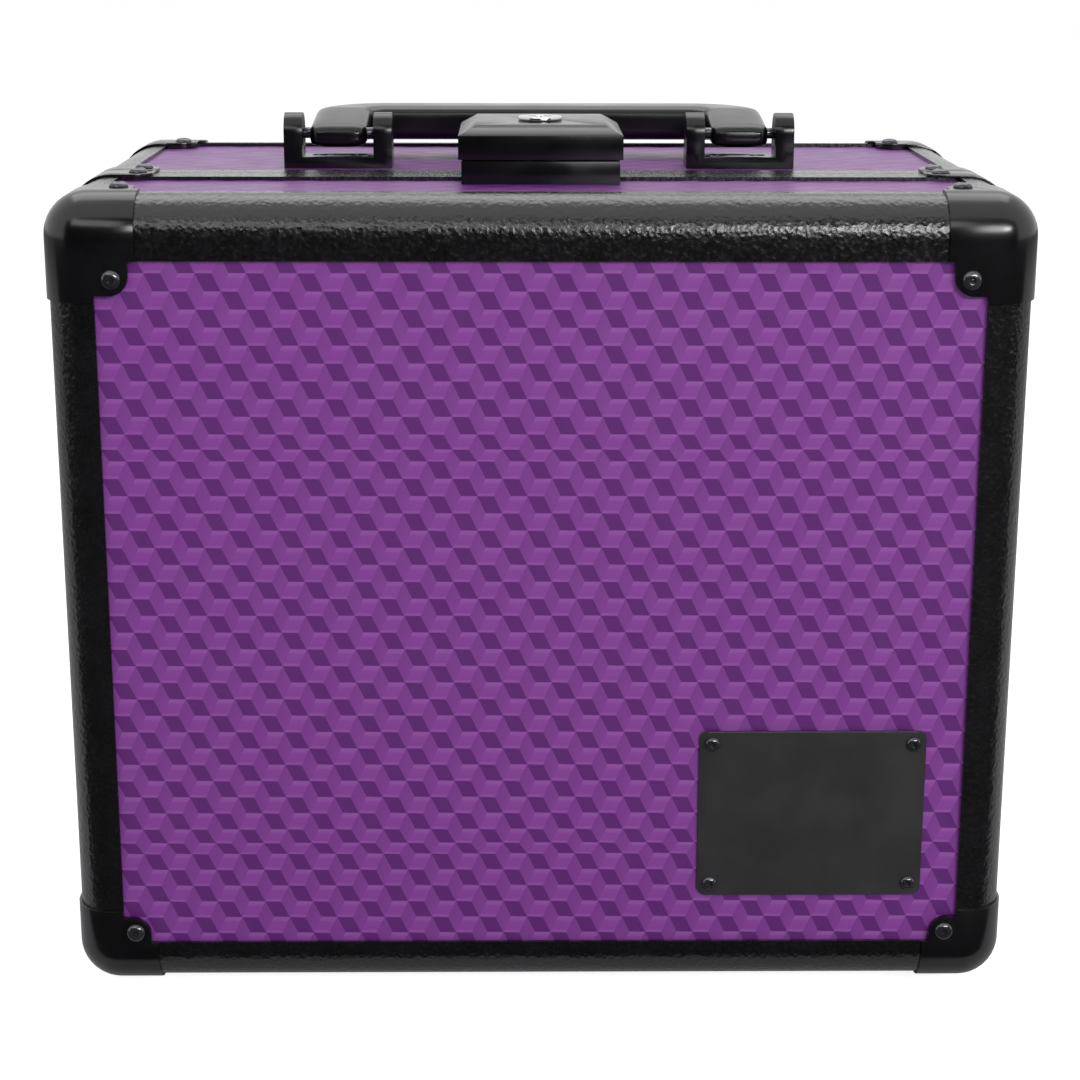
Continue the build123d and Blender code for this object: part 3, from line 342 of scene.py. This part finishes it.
def embossed_sheet(name, width, height, thickness, shift, starts, depth):
    """A board in the XY plane, pattern up, whose pattern is moved by the shift.

    Each of the roller's starts is the height of the first short row's upper edge."""
    step_x = 3 * cube_edge
    step_y = 2 * row_height
    count_x = ceil(width / step_x) + 3
    count_y = ceil(height / step_y) + 3
    bpy.ops.object.select_all(action="DESELECT")
    bpy.ops.mesh.primitive_circle_add(
        vertices=6, radius=cube_edge, fill_type="TRIFAN", rotation=(0, 0, radians(30))
    )
    board = bpy.context.object
    board.name = name
    bpy.ops.object.transform_apply()
    board.scale.y = row_height / (cube_edge * sin(radians(60)))
    bpy.ops.object.transform_apply()
    # Each facet's corners get a painted light tone: shade on one side, half light on the next, light on the
    # third, with painted highlights near the lit side's edges.
    painted_tone = board.data.attributes.new("painted_facet_light", "FLOAT", "CORNER")
    for face in board.data.polygons:
        angle = degrees(atan2(face.center.y, face.center.x)) % 360
        for corner in face.loop_indices:
            place = board.data.vertices[board.data.loops[corner].vertex_index].co
            if angle < 120:
                value = shaded_side_tone
            elif angle < 240:
                outer = 2 * place.x / cube_edge < place.y / row_height - 0.5
                value = half_lit_side_tones[0] if outer else half_lit_side_tones[1]
            else:
                value = lit_side_tone - lit_side_tone * place.y / row_height
            painted_tone.data[corner].value = plain_tone + (value - plain_tone) * depth
    bpy.ops.object.mode_set(mode="EDIT")
    select(board, "verts", lambda vert: vert.co.length < cube_edge / 2)
    bpy.ops.transform.translate(value=(0, 0, -relief * depth))
    select(
        board, "verts",
        lambda vert: vert.co.length > cube_edge / 2
        and round(degrees(atan2(vert.co.y, vert.co.x)) / 60) % 2 == 1,
    )
    bpy.ops.transform.translate(value=(0, 0, relief * depth))
    bpy.ops.object.mode_set(mode="OBJECT")
    repeat(board, (step_x, 0, 0), count_x)
    repeat(board, (step_x / 2, row_height, 0), 2)
    repeat(board, (0, step_y, 0), count_y)
    start_x = -(count_x // 2) * step_x + (shift[0] + step_x / 2) % step_x - step_x / 2
    start_y = -(count_y // 2) * step_y + (shift[1] + row_height) % step_y - row_height
    bpy.ops.object.mode_set(mode="EDIT")
    bpy.ops.mesh.select_all(action="SELECT")
    bpy.ops.transform.translate(value=(start_x, start_y, 0))
    for start in starts:
        for short_row in short_rows:
            select(board, "verts", lambda vert: vert.co.y < start - row_height / 2)
            bpy.ops.transform.translate(value=(0, row_height - short_row, 0))
            start -= short_row
    for side in (-1, 1):
        bpy.ops.mesh.select_all(action="SELECT")
        bpy.ops.mesh.bisect(
            plane_co=(side * width / 2, 0, 0), plane_no=(side, 0, 0), clear_outer=True
        )
        bpy.ops.mesh.select_all(action="SELECT")
        bpy.ops.mesh.bisect(
            plane_co=(0, side * height / 2, 0), plane_no=(0, side, 0), clear_outer=True
        )
    bpy.ops.mesh.select_all(action="SELECT")
    bpy.ops.mesh.extrude_region_move(TRANSFORM_OT_translate={"value": (0, 0, -thickness)})
    bpy.ops.transform.resize(value=(1, 1, 0), center_override=(0, 0, -thickness))
    bpy.ops.mesh.select_all(action="SELECT")
    bpy.ops.mesh.normals_make_consistent(inside=False)
    bpy.ops.object.mode_set(mode="OBJECT")
    return board


def embossed_board(name, node, body, across, up, shift=(0.0, 0.0), starts=(), depth=1.0):
    """The boards of a CAD node, each with its pattern outwards.

    across and up are the directions of the pattern's rows and columns on the board."""
    outward = across.cross(up)
    boxes = loose_boxes(node)
    for number, (low, high) in enumerate(boxes):
        middle = (low + high) / 2
        size = high - low
        facing = 1 if len(boxes) == 1 or middle.dot(outward) > 0 else -1
        width = abs(size.dot(across))
        height = abs(size.dot(up))
        thickness = abs(size.dot(outward))
        board = embossed_sheet(name, width, height, thickness, shift, starts, depth)
        face = middle + facing * outward * (thickness / 2 - relief * depth)
        board.matrix_world = Matrix.Translation(face) @ Matrix(
            (facing * across, up, facing * outward)
        ).transposed().to_4x4()
        bpy.ops.object.transform_apply()
        if number:
            board.name = name + "_" + str(number + 1)
        dress(board, body, laminate)
        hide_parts(node)


def loose_boxes(node):
    """Lowest and highest corner of each separate solid of a CAD node, from left to right."""
    shape = bmesh.new()
    shape.from_mesh(nodes[node].data)
    bmesh.ops.remove_doubles(shape, verts=shape.verts, dist=1e-6)
    shape.verts.ensure_lookup_table()
    reached = set()
    boxes = []
    for start in shape.verts:
        if start.index in reached:
            continue
        reached.add(start.index)
        group = [start]
        for vert in group:
            for edge in vert.link_edges:
                other = edge.other_vert(vert)
                if other.index not in reached:
                    reached.add(other.index)
                    group.append(other)
        low = Vector([min(vert.co[axis] for vert in group) for axis in range(3)])
        high = Vector([max(vert.co[axis] for vert in group) for axis in range(3)])
        boxes.append((low, high))
    shape.free()
    return sorted(boxes, key=lambda box: tuple(round(value, 5) for value in box[0]))


right = Vector((1, 0, 0))
back = Vector((0, 1, 0))
above = Vector((0, 0, 1))

front_low, front_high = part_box("lid_front_panel")
front_middle = (front_low + front_high) / 2
front_shift = (block_middle_x - front_middle.x, block_middle_z - front_middle.z)
front_starts = [start - front_middle.z for start in roller_starts]
embossed_board(
    "front_board", "lid_front_panel", "lid", right, above, front_shift, front_starts
)
embossed_board("lid_top_board", "lid_top_wall", "lid", right, back, depth=shallow)
embossed_board("lid_bottom_board", "lid_bottom_wall", "lid", right, -back, depth=shallow)
embossed_board("lid_side_board", "lid_side_walls", "lid", back, above)
embossed_board(
    "back_board", "base_back_panel", "base", -right, above, front_shift, front_starts
)
embossed_board("base_top_board", "base_top_wall", "base", right, back, depth=shallow)
embossed_board("base_bottom_board", "base_bottom_wall", "base", right, -back, depth=shallow)
embossed_board("base_side_board", "base_side_walls", "base", back, above)

# Edge sections and seam sections.
# Rounded metal extrusions that grip the boards in slots, with a tongue and groove along the
# seam, all in black wrinkle powder coat.

wrinkle_size = 0.0017
wrinkle_depth = 0.00014


def shell_copy(node, name, body, material, edge=0.0, smooth=32):
    """A closed, smooth copy of a CAD node, its edges broken by a small radius if one is given."""
    piece = bpy.data.objects.new(name, nodes[node].data.copy())
    bpy.context.scene.collection.objects.link(piece)
    bpy.ops.object.select_all(action="DESELECT")
    piece.select_set(True)
    bpy.context.view_layer.objects.active = piece
    bpy.ops.object.mode_set(mode="EDIT")
    bpy.ops.mesh.select_all(action="SELECT")
    bpy.ops.mesh.customdata_custom_splitnormals_clear()
    bpy.ops.mesh.remove_doubles(threshold=1e-6)
    bpy.ops.mesh.dissolve_limited(angle_limit=radians(0.5))
    bpy.ops.object.mode_set(mode="OBJECT")
    if edge:
        apply_modifier(
            piece, "BEVEL", width=edge, segments=2, limit_method="ANGLE",
            angle_limit=radians(40), use_clamp_overlap=True,
        )
    bpy.ops.object.shade_smooth_by_angle(angle=radians(smooth))
    dress(piece, body, material)
    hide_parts(node)
    return piece


wrinkle, wrinkle_place, wrinkle_scale, wrinkle_result = noise_group("wrinkle", ("Height", "Shine"))
wrinkle_cells = new_node(wrinkle, "TexVoronoi", {"Smoothness": 0.7}, feature="SMOOTH_F1")
wrinkle_noise = new_node(wrinkle, "TexNoise", {"Detail": 3.0, "Roughness": 0.55})
wrinkle_sum = new_node(wrinkle, "Math", operation="ADD")
wrinkle_spread = new_node(wrinkle, "MapRange", {"From Min": 0.35, "From Max": 0.65})
wrinkle.links.new(wrinkle_place, wrinkle_cells.inputs["Vector"])
wrinkle.links.new(wrinkle_place, wrinkle_noise.inputs["Vector"])
wrinkle.links.new(wrinkle_scale, wrinkle_cells.inputs["Scale"])
wrinkle.links.new(wrinkle_scale, wrinkle_noise.inputs["Scale"])
wrinkle.links.new(wrinkle_cells.outputs["Distance"], wrinkle_sum.inputs[0])
wrinkle.links.new(wrinkle_noise.outputs["Fac"], wrinkle_sum.inputs[1])
wrinkle.links.new(wrinkle_noise.outputs["Fac"], wrinkle_spread.inputs["Value"])
wrinkle.links.new(wrinkle_sum.outputs[0], wrinkle_result.inputs["Height"])
wrinkle.links.new(wrinkle_spread.outputs[0], wrinkle_result.inputs["Shine"])

powder_coat = finish(
    "wrinkle_powder_coat", linear(10, 10, 12), linear(17, 16, 19), (0.3, 0.5), 0.0005, 0.00001,
    Specular_IOR_Level=0.8,
)
coat = powder_coat.node_tree
coat_wrinkle = put_group(coat, wrinkle, wrinkle_size)
coat_bump = new_node(coat, "Bump", {"Strength": 1.0, "Distance": wrinkle_depth})
coat_gloss = new_node(coat, "MapRange", {"To Min": 0.3, "To Max": 0.15})
coat.links.new(coat_wrinkle.outputs["Height"], coat_bump.inputs["Height"])
coat.links.new(coat.nodes["Bump"].outputs["Normal"], coat_bump.inputs["Normal"])
coat.links.new(coat_bump.outputs["Normal"], coat.nodes["Principled BSDF"].inputs["Normal"])
coat.links.new(coat_wrinkle.outputs["Shine"], coat_gloss.inputs["Value"])
coat.links.new(coat_gloss.outputs[0], coat.nodes["Principled BSDF"].inputs["Roughness"])

for body, node in (
    ("lid", "lid_front_edges"), ("lid", "lid_depth_edges"), ("lid", "lid_seam_frame"),
    ("base", "base_back_edges"), ("base", "base_depth_edges"), ("base", "base_seam_frame"),
):
    shell_copy(node, node.replace("_edges", "_sections").replace("_frame", "_sections"), body,
               powder_coat)

# Corner caps and seam brackets.
# Pressed steel, bent round three edges at a corner, or two at the seam, in smooth black enamel
# and riveted through their tabs.

pressed_edge = 0.0003
enamel = finish(
    "black_enamel", linear(10, 10, 12), linear(15, 14, 17), (0.16, 0.24), 0.0009, 0.000008,
    Specular_IOR_Level=0.6,
)
for body, node in (
    ("lid", "lid_corner_caps"), ("base", "base_corner_caps"),
    ("lid", "lid_seam_brackets"), ("base", "base_seam_brackets"),
):
    shell_copy(node, node.replace("corner_caps", "caps").replace("seam_brackets", "brackets"),
               body, enamel, edge=pressed_edge)

# Blind rivets.
# Domed heads on a short shank, each with the hollow that the pulling pin leaves and the broken
# pin deep inside.

head = 0.0033
head_height = 0.0015
shank = 0.0016
shank_depth = 0.0085
badge_head = 0.0027
badge_shank_depth = 0.006
metal_edge = 0.0002
case_middle = Vector((0, 0, (cad_box[0].z + cad_box[1].z) / 2))
dark_metal = finish(
    "dark_rivet_metal", linear(84, 84, 89), linear(104, 103, 108), (0.12, 0.22), 0.0003, 0.000004,
    Metallic=0.85,
)


def turned(name, profile, sides=28):
    """A solid of revolution on the Z axis, drawn out ring by ring from its lowest disc.

    The profile is a list of (radius, height); the last radius is the top disc's."""
    bpy.ops.object.select_all(action="DESELECT")
    first_radius, first_height = profile[0]
    bpy.ops.mesh.primitive_circle_add(
        vertices=sides, radius=first_radius, fill_type="NGON", location=(0, 0, first_height)
    )
    piece = bpy.context.object
    piece.name = name
    bpy.ops.object.transform_apply()
    bpy.ops.object.mode_set(mode="EDIT")
    bpy.ops.mesh.select_all(action="SELECT")
    radius, height = profile[0]
    for next_radius, next_height in profile[1:]:
        bpy.ops.mesh.extrude_region_move(
            TRANSFORM_OT_translate={"value": (0, 0, next_height - height)}
        )
        grow = next_radius / radius
        bpy.ops.transform.resize(value=(grow, grow, 1), center_override=(0, 0, next_height))
        radius, height = next_radius, next_height
    bpy.ops.mesh.select_all(action="SELECT")
    bpy.ops.mesh.normals_make_consistent(inside=False)
    bpy.ops.object.mode_set(mode="OBJECT")
    bpy.ops.object.shade_smooth_by_angle(angle=radians(35))
    return piece


def placed_copies(pattern, name, places, body, material):
    """One piece made of copies of a pattern, at (point, direction of its +Z) places."""
    copies = []
    for point, direction in places:
        copied = bpy.data.objects.new(name, pattern.data.copy())
        bpy.context.scene.collection.objects.link(copied)
        turn_to = direction.to_track_quat("Z", "Y").to_matrix().to_4x4()
        copied.data.transform(Matrix.Translation(point) @ turn_to)
        copies.append(copied)
    bpy.ops.object.select_all(action="DESELECT")
    for copied in copies:
        copied.select_set(True)
    bpy.context.view_layer.objects.active = copies[0]
    bpy.ops.object.join()
    piece = bpy.context.object
    piece.name = name
    dress(piece, body, material)
    return piece


def fastener_places(node):
    """Seat and outward direction of each fastener of a CAD node, from its solids' boxes."""
    places = []
    for low, high in loose_boxes(node):
        size = high - low
        axis = max(range(3), key=lambda number: size[number])
        middle = (low + high) / 2
        direction = Vector((0, 0, 0))
        direction[axis] = 1 if middle[axis] > case_middle[axis] else -1
        point = middle + direction * (size[axis] / 2 - head_height)
        places.append((point, direction))
    return places


def blind_rivet(name, radius, depth):
    """Blind rivet with its seat at height 0 and its shank down to the depth."""
    return turned(name, [
        (shank, -depth), (shank, 0.0), (radius * 0.97, 0.0), (radius, 0.0002), (radius * 0.96, 0.0006),
        (radius * 0.86, 0.00098), (radius * 0.70, 0.0013), (radius * 0.52, 0.00147), (radius * 0.42, 0.0015),
        (radius * 0.35, 0.00142), (radius * 0.31, 0.0012), (radius * 0.29, 0.0004), (radius * 0.17, 0.00035),
        (radius * 0.14, 0.00055), (radius * 0.06, 0.00062),
    ])


for body, node, radius, depth in (
    ("lid", "lid_rivets", head, shank_depth), ("base", "base_rivets", head, shank_depth),
    ("lid", "badge_rivets", badge_head, badge_shank_depth),
):
    pattern = blind_rivet("rivet_pattern", radius, depth)
    rivets = placed_copies(
        pattern, node.replace("rivets", "blind_rivets"), fastener_places(node),
        body, dark_metal,
    )
    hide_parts(node)
    bpy.data.objects.remove(pattern)
for body, node in (("lid", "lid_hinge_rivets"), ("base", "base_hinge_rivets")):
    shell_copy(node, node + "_domed", body, dark_metal, edge=metal_edge)

# Badge plate.
# A bare plate of dark grey sheet with rounded corners, folded back a little along its left and
# right edges and riveted at its corners.

plate_fold = 0.0030
plate_fall = 0.0006
plate_corner = 0.0030
plate_edge = 0.00025
plate_grey = finish(
    "satin_grey_plate", linear(46, 46, 47), linear(50, 50, 51), (0.36, 0.5), 0.0006, 0.00001
)
plate_low, plate_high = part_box("badge_plate")
plate_size = plate_high - plate_low
plate_middle_x = (plate_low.x + plate_high.x) / 2
plate_flat = plate_size.x / 2 - plate_fold
bpy.ops.object.select_all(action="DESELECT")
bpy.ops.mesh.primitive_cube_add(size=1.0, location=(plate_low + plate_high) / 2)
plate = bpy.context.object
plate.name = "bare_badge_plate"
plate.scale = plate_size
bpy.ops.object.transform_apply()
bpy.ops.object.mode_set(mode="EDIT")
select(plate, "edges", lambda edge: abs(edge.verts[0].co.y - edge.verts[1].co.y) > plate_size.y / 2)
bpy.ops.mesh.bevel(offset=plate_corner, segments=6, affect="EDGES")
for side in (-1, 1):
    bpy.ops.mesh.select_all(action="SELECT")
    bpy.ops.mesh.bisect(plane_co=(plate_middle_x + side * plate_flat, 0, 0), plane_no=(1, 0, 0))
select(
    plate, "verts",
    lambda vert: vert.co.y < plate_low.y + 1e-5 and abs(vert.co.x - plate_middle_x) > plate_flat + 1e-4,
)
bpy.ops.transform.translate(value=(0, plate_fall, 0))
bpy.ops.object.mode_set(mode="OBJECT")
apply_modifier(
    plate, "BEVEL", width=plate_edge, segments=2, limit_method="ANGLE", angle_limit=radians(30)
)
bpy.ops.object.shade_smooth_by_angle(angle=radians(12))
dress(plate, "lid", plate_grey)
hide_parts("badge_plate")

# Handle brackets and pins.
# Each bracket is a moulded channel with two round-topped ears; a steel pin through both ears
# carries one arm of the handle.

moulded_edge = 0.0005
moulding = finish(
    "moulded_black_plastic", linear(9, 9, 11), linear(14, 13, 16), (0.18, 0.26), 0.0005, 0.000006
)
steel = finish(
    "plain_steel", (0.36, 0.36, 0.37), (0.28, 0.28, 0.29), (0.2, 0.36), 0.0004, 0.000006, Metallic=1.0
)
shell_copy("handle_brackets", "bracket_channels", "base", moulding, edge=moulded_edge)
shell_copy("handle_pins", "handle_pin_pair", "base", dark_metal, edge=metal_edge)
shell_copy("bracket_screws", "bracket_screw_set", "base", steel, edge=metal_edge)

# Folding handle.
# One black moulding, crowned on every side: two arms from the pins, bent through round corners
# into a broad grip that lies back on the case.

handle_low, handle_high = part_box("handle")
arm_width = 0.021
grip_depth = 0.024
inner_bend = 0.006
squareness = 4.2
ring_points = 48
bend_steps = 14
arm_half = arm_width / 2
handle_half = handle_high.x
handle_thick = handle_high.z - handle_low.z
bend_centre = Vector((
    handle_half - arm_width - inner_bend, handle_high.y - grip_depth - inner_bend,
    (handle_low.z + handle_high.z) / 2,
))
tip_steps = 7
tip_length = 0.0045
tip_fall = 0.0043
fall_length = 0.032
grip_sag = 0.0024


def squircle(angle, half_width, half_height):
    """Point of a rounded rectangle with crowned sides, at an angle round its middle."""
    power = 2 / squareness
    across = abs(cos(angle)) ** power * half_width
    up = abs(sin(angle)) ** power * half_height
    return across if cos(angle) > 0 else -across, up if sin(angle) > 0 else -up


bpy.ops.object.select_all(action="DESELECT")
bpy.ops.mesh.primitive_circle_add(vertices=ring_points, radius=arm_half, fill_type="NGON")
handle = bpy.context.object
handle.name = "crowned_handle"
for number, vert in enumerate(handle.data.vertices):
    across, up = squircle(2 * pi * (number + 0.5) / ring_points, arm_half, handle_thick / 2)
    vert.co = (handle_half - arm_half + across, handle_low.y + tip_length, bend_centre.z + up)
bpy.ops.object.mode_set(mode="EDIT")
bpy.ops.mesh.select_all(action="SELECT")
arm_middle = Vector((handle_half - arm_half, handle_low.y + tip_length, bend_centre.z))
bpy.ops.mesh.extrude_region_move(
    TRANSFORM_OT_translate={"value": (0, bend_centre.y - arm_middle.y, 0)}
)
bpy.ops.mesh.spin(steps=bend_steps, angle=radians(-90), center=bend_centre, axis=(0, 0, 1))
bpy.ops.mesh.extrude_region_move(TRANSFORM_OT_translate={"value": (-bend_centre.x, 0, 0)})
bpy.ops.mesh.delete(type="FACE")
select(handle, "faces", lambda face: face.calc_center_median().y < arm_middle.y + 1e-5)
for step in range(1, tip_steps + 1):
    lean = radians(90) * step / (tip_steps + 1)
    last = radians(90) * (step - 1) / (tip_steps + 1)
    forward = tip_length * (sin(lean) - sin(last))
    drawn_in = tip_length * (1 - cos(lean))
    drawn_before = tip_length * (1 - cos(last))
    narrower = (arm_half - drawn_in) / (arm_half - drawn_before)
    thinner = (handle_thick / 2 - drawn_in) / (handle_thick / 2 - drawn_before)
    bpy.ops.mesh.extrude_region_move(TRANSFORM_OT_translate={"value": (0, -forward, 0)})
    bpy.ops.transform.resize(value=(narrower, 1, thinner), center_override=arm_middle)
grip_front = handle_high.y - grip_depth
select(handle, "verts", lambda vert: vert.co.y > grip_front - 1e-6)
bpy.ops.transform.resize(value=(1, grip_depth / arm_width, 1), center_override=(0, grip_front, 0))
for vert in bmesh.from_edit_mesh(handle.data).verts:
    along = (vert.co.y - handle_low.y) / fall_length
    height = (vert.co.z - handle_low.z) / handle_thick
    if along < 1:
        vert.co.z -= tip_fall * (1 - along) * height
    else:
        vert.co.z -= grip_sag * min(1, along - 1) * (1 - height)
bpy.ops.mesh.select_all(action="SELECT")
bpy.ops.mesh.normals_make_consistent(inside=False)
bpy.ops.object.mode_set(mode="OBJECT")
apply_modifier(handle, "MIRROR", use_axis=(True, False, False), use_clip=True, merge_threshold=1e-5)
bpy.ops.object.shade_smooth_by_angle(angle=radians(40))
dress(handle, "handle", moulding)
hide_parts("handle")

# Latch block, cover and key lock.
# Moulded black parts: a strike on the lid, a base behind the seam and a bevelled cover that
# hinges on the base; the round chrome lock turns a hook under the cover.

cover_edge = 0.0004
barrel_edge = 0.0003
shell_copy("latch_strike", "strike_block", "lid", moulding, edge=moulded_edge)
shell_copy("latch_base", "latch_base_block", "base", moulding, edge=moulded_edge)
shell_copy("latch_cover", "bevelled_cover", "latch_cover", moulding, edge=cover_edge)
shell_copy("latch_pin", "cover_pin", "base", steel, edge=metal_edge)
shell_copy("strike_screws", "strike_screw_pair", "lid", steel, edge=metal_edge)
shell_copy("latch_base_screws", "latch_screw_pair", "base", steel, edge=metal_edge)
chrome = finish(
    "polished_chrome", (0.72, 0.72, 0.73), (0.6, 0.6, 0.62), (0.16, 0.24), 0.0003, 0.000002, Metallic=1.0
)
shell_copy("lock_housing", "lock_flange", "latch_cover", chrome, edge=cover_edge)
shell_copy("lock_barrel", "key_barrel", "lock_key", chrome, edge=barrel_edge)
shell_copy("lock_cam", "hook_cam", "lock_key", steel, edge=metal_edge)
shell_copy("cam_screw", "cam_screw_head", "lock_key", steel, edge=metal_edge)

# Hinges and feet.
# Two knuckled butt hinges of plain steel below the seam, and four rubber feet with sunk screws.

rubber_edge = 0.0004
rubber = finish(
    "foot_rubber", linear(30, 30, 31), linear(40, 39, 40), (0.6, 0.8), 0.0004, 0.00003
)
shell_copy("lid_hinge_leaves", "lid_leaves", "lid", steel, edge=metal_edge)
shell_copy("base_hinge_leaves", "base_leaves", "base", steel, edge=metal_edge)
shell_copy("hinge_pins", "hinge_pin_pair", "base", steel, edge=metal_edge)
shell_copy("lid_feet", "lid_rubber_feet", "lid", rubber, edge=rubber_edge)
shell_copy("base_feet", "base_rubber_feet", "base", rubber, edge=rubber_edge)
shell_copy("lid_foot_screws", "lid_foot_screw_pair", "lid", steel, edge=metal_edge)
shell_copy("base_foot_screws", "base_foot_screw_pair", "base", steel, edge=metal_edge)

# Foam lining.
# Charcoal foam: a floor, end and side walls and two dividers glued in the base, and a pad with
# rows of soft pegs in the lid. The seed keeps the slabs' unevenness the same in every run.

foam = finish(
    "charcoal_foam", linear(44, 44, 47), linear(54, 54, 58), (0.85, 0.95), 0.0011, 0.0004,
    Specular_IOR_Level=0.2,
)
foam_grid = 0.012
foam_round = 0.0022
foam_wave = 0.0002
foam_waves_per_metre = 60
foam_seed = 4
peg_pitch = 0.024
peg_height = 0.009
peg_steps = 8


def foam_blocks(node, name, body):
    """Soft-edged slabs of foam in place of each solid of a CAD node, slightly uneven."""
    for number, (low, high) in enumerate(loose_boxes(node)):
        bpy.ops.object.select_all(action="DESELECT")
        bpy.ops.mesh.primitive_cube_add(size=1.0, location=(low + high) / 2)
        block = bpy.context.object
        block.name = name if not number else name + "_" + str(number + 1)
        block.scale = high - low - Vector((1, 1, 1)) * 2 * foam_wave
        bpy.ops.object.transform_apply()
        bpy.ops.object.mode_set(mode="EDIT")
        for axis in range(3):
            count = int((high - low)[axis] / foam_grid)
            normal = [0, 0, 0]
            normal[axis] = 1
            for cut in range(1, count):
                bpy.ops.mesh.select_all(action="SELECT")
                place = low + (high - low) * cut / count
                bpy.ops.mesh.bisect(plane_co=place, plane_no=normal)
        bpy.ops.object.mode_set(mode="OBJECT")
        apply_modifier(
            block, "BEVEL", width=foam_round, segments=3, limit_method="ANGLE",
            angle_limit=radians(60), use_clamp_overlap=True,
        )
        for vert in block.data.vertices:
            vert.co += noise.noise_vector(vert.co * foam_waves_per_metre) * foam_wave
        bpy.ops.object.shade_smooth_by_angle(angle=radians(60))
        dress(block, body, foam)
        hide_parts(node)


noise.seed_set(foam_seed)
for node in ("foam_floor", "foam_end_walls", "foam_side_walls", "foam_dividers"):
    foam_blocks(node, node.replace("foam_", "soft_"), "base")

pad_low, pad_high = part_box("lid_foam_pad")
pad_size = pad_high - pad_low
pad_columns = round(pad_size.x / peg_pitch)
pad_rows = round(pad_size.z / peg_pitch)
bpy.ops.object.select_all(action="DESELECT")
bpy.ops.mesh.primitive_grid_add(
    x_subdivisions=pad_columns * peg_steps, y_subdivisions=pad_rows * peg_steps, size=1.0,
    location=(0, 0, 0), rotation=(radians(-90), 0, 0),
)
pad = bpy.context.object
pad.name = "pegged_lid_pad"
pad.scale = (pad_size.x - 2 * foam_wave, pad_size.z - 2 * foam_wave, 1)
bpy.ops.object.transform_apply()
bpy.ops.object.mode_set(mode="EDIT")
bpy.ops.mesh.select_all(action="SELECT")
pad_face = pad_high.y - foam_wave
pad_middle = Vector(((pad_low.x + pad_high.x) / 2, pad_face, (pad_low.z + pad_high.z) / 2))
bpy.ops.transform.translate(value=pad_middle)
bpy.ops.mesh.extrude_region_move(
    TRANSFORM_OT_translate={"value": (0, pad_low.y + foam_wave - pad_face, 0)}
)
bpy.ops.mesh.dissolve_limited(angle_limit=radians(1))
bpy.ops.mesh.select_all(action="SELECT")
bpy.ops.mesh.normals_make_consistent(inside=False)
bpy.ops.object.mode_set(mode="OBJECT")
for vert in pad.data.vertices:
    if vert.co.y > pad_face - 1e-5:
        column = (vert.co.x - pad_low.x) / pad_size.x * pad_columns
        row = (vert.co.z - pad_low.z) / pad_size.z * pad_rows
        peg = sin(pi * column) * sin(pi * row)
        vert.co.y -= peg_height * (1 - peg) / 2
bpy.ops.object.shade_smooth_by_angle(angle=radians(60))
dress(pad, "lid", foam)
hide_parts("lid_foam_pad")
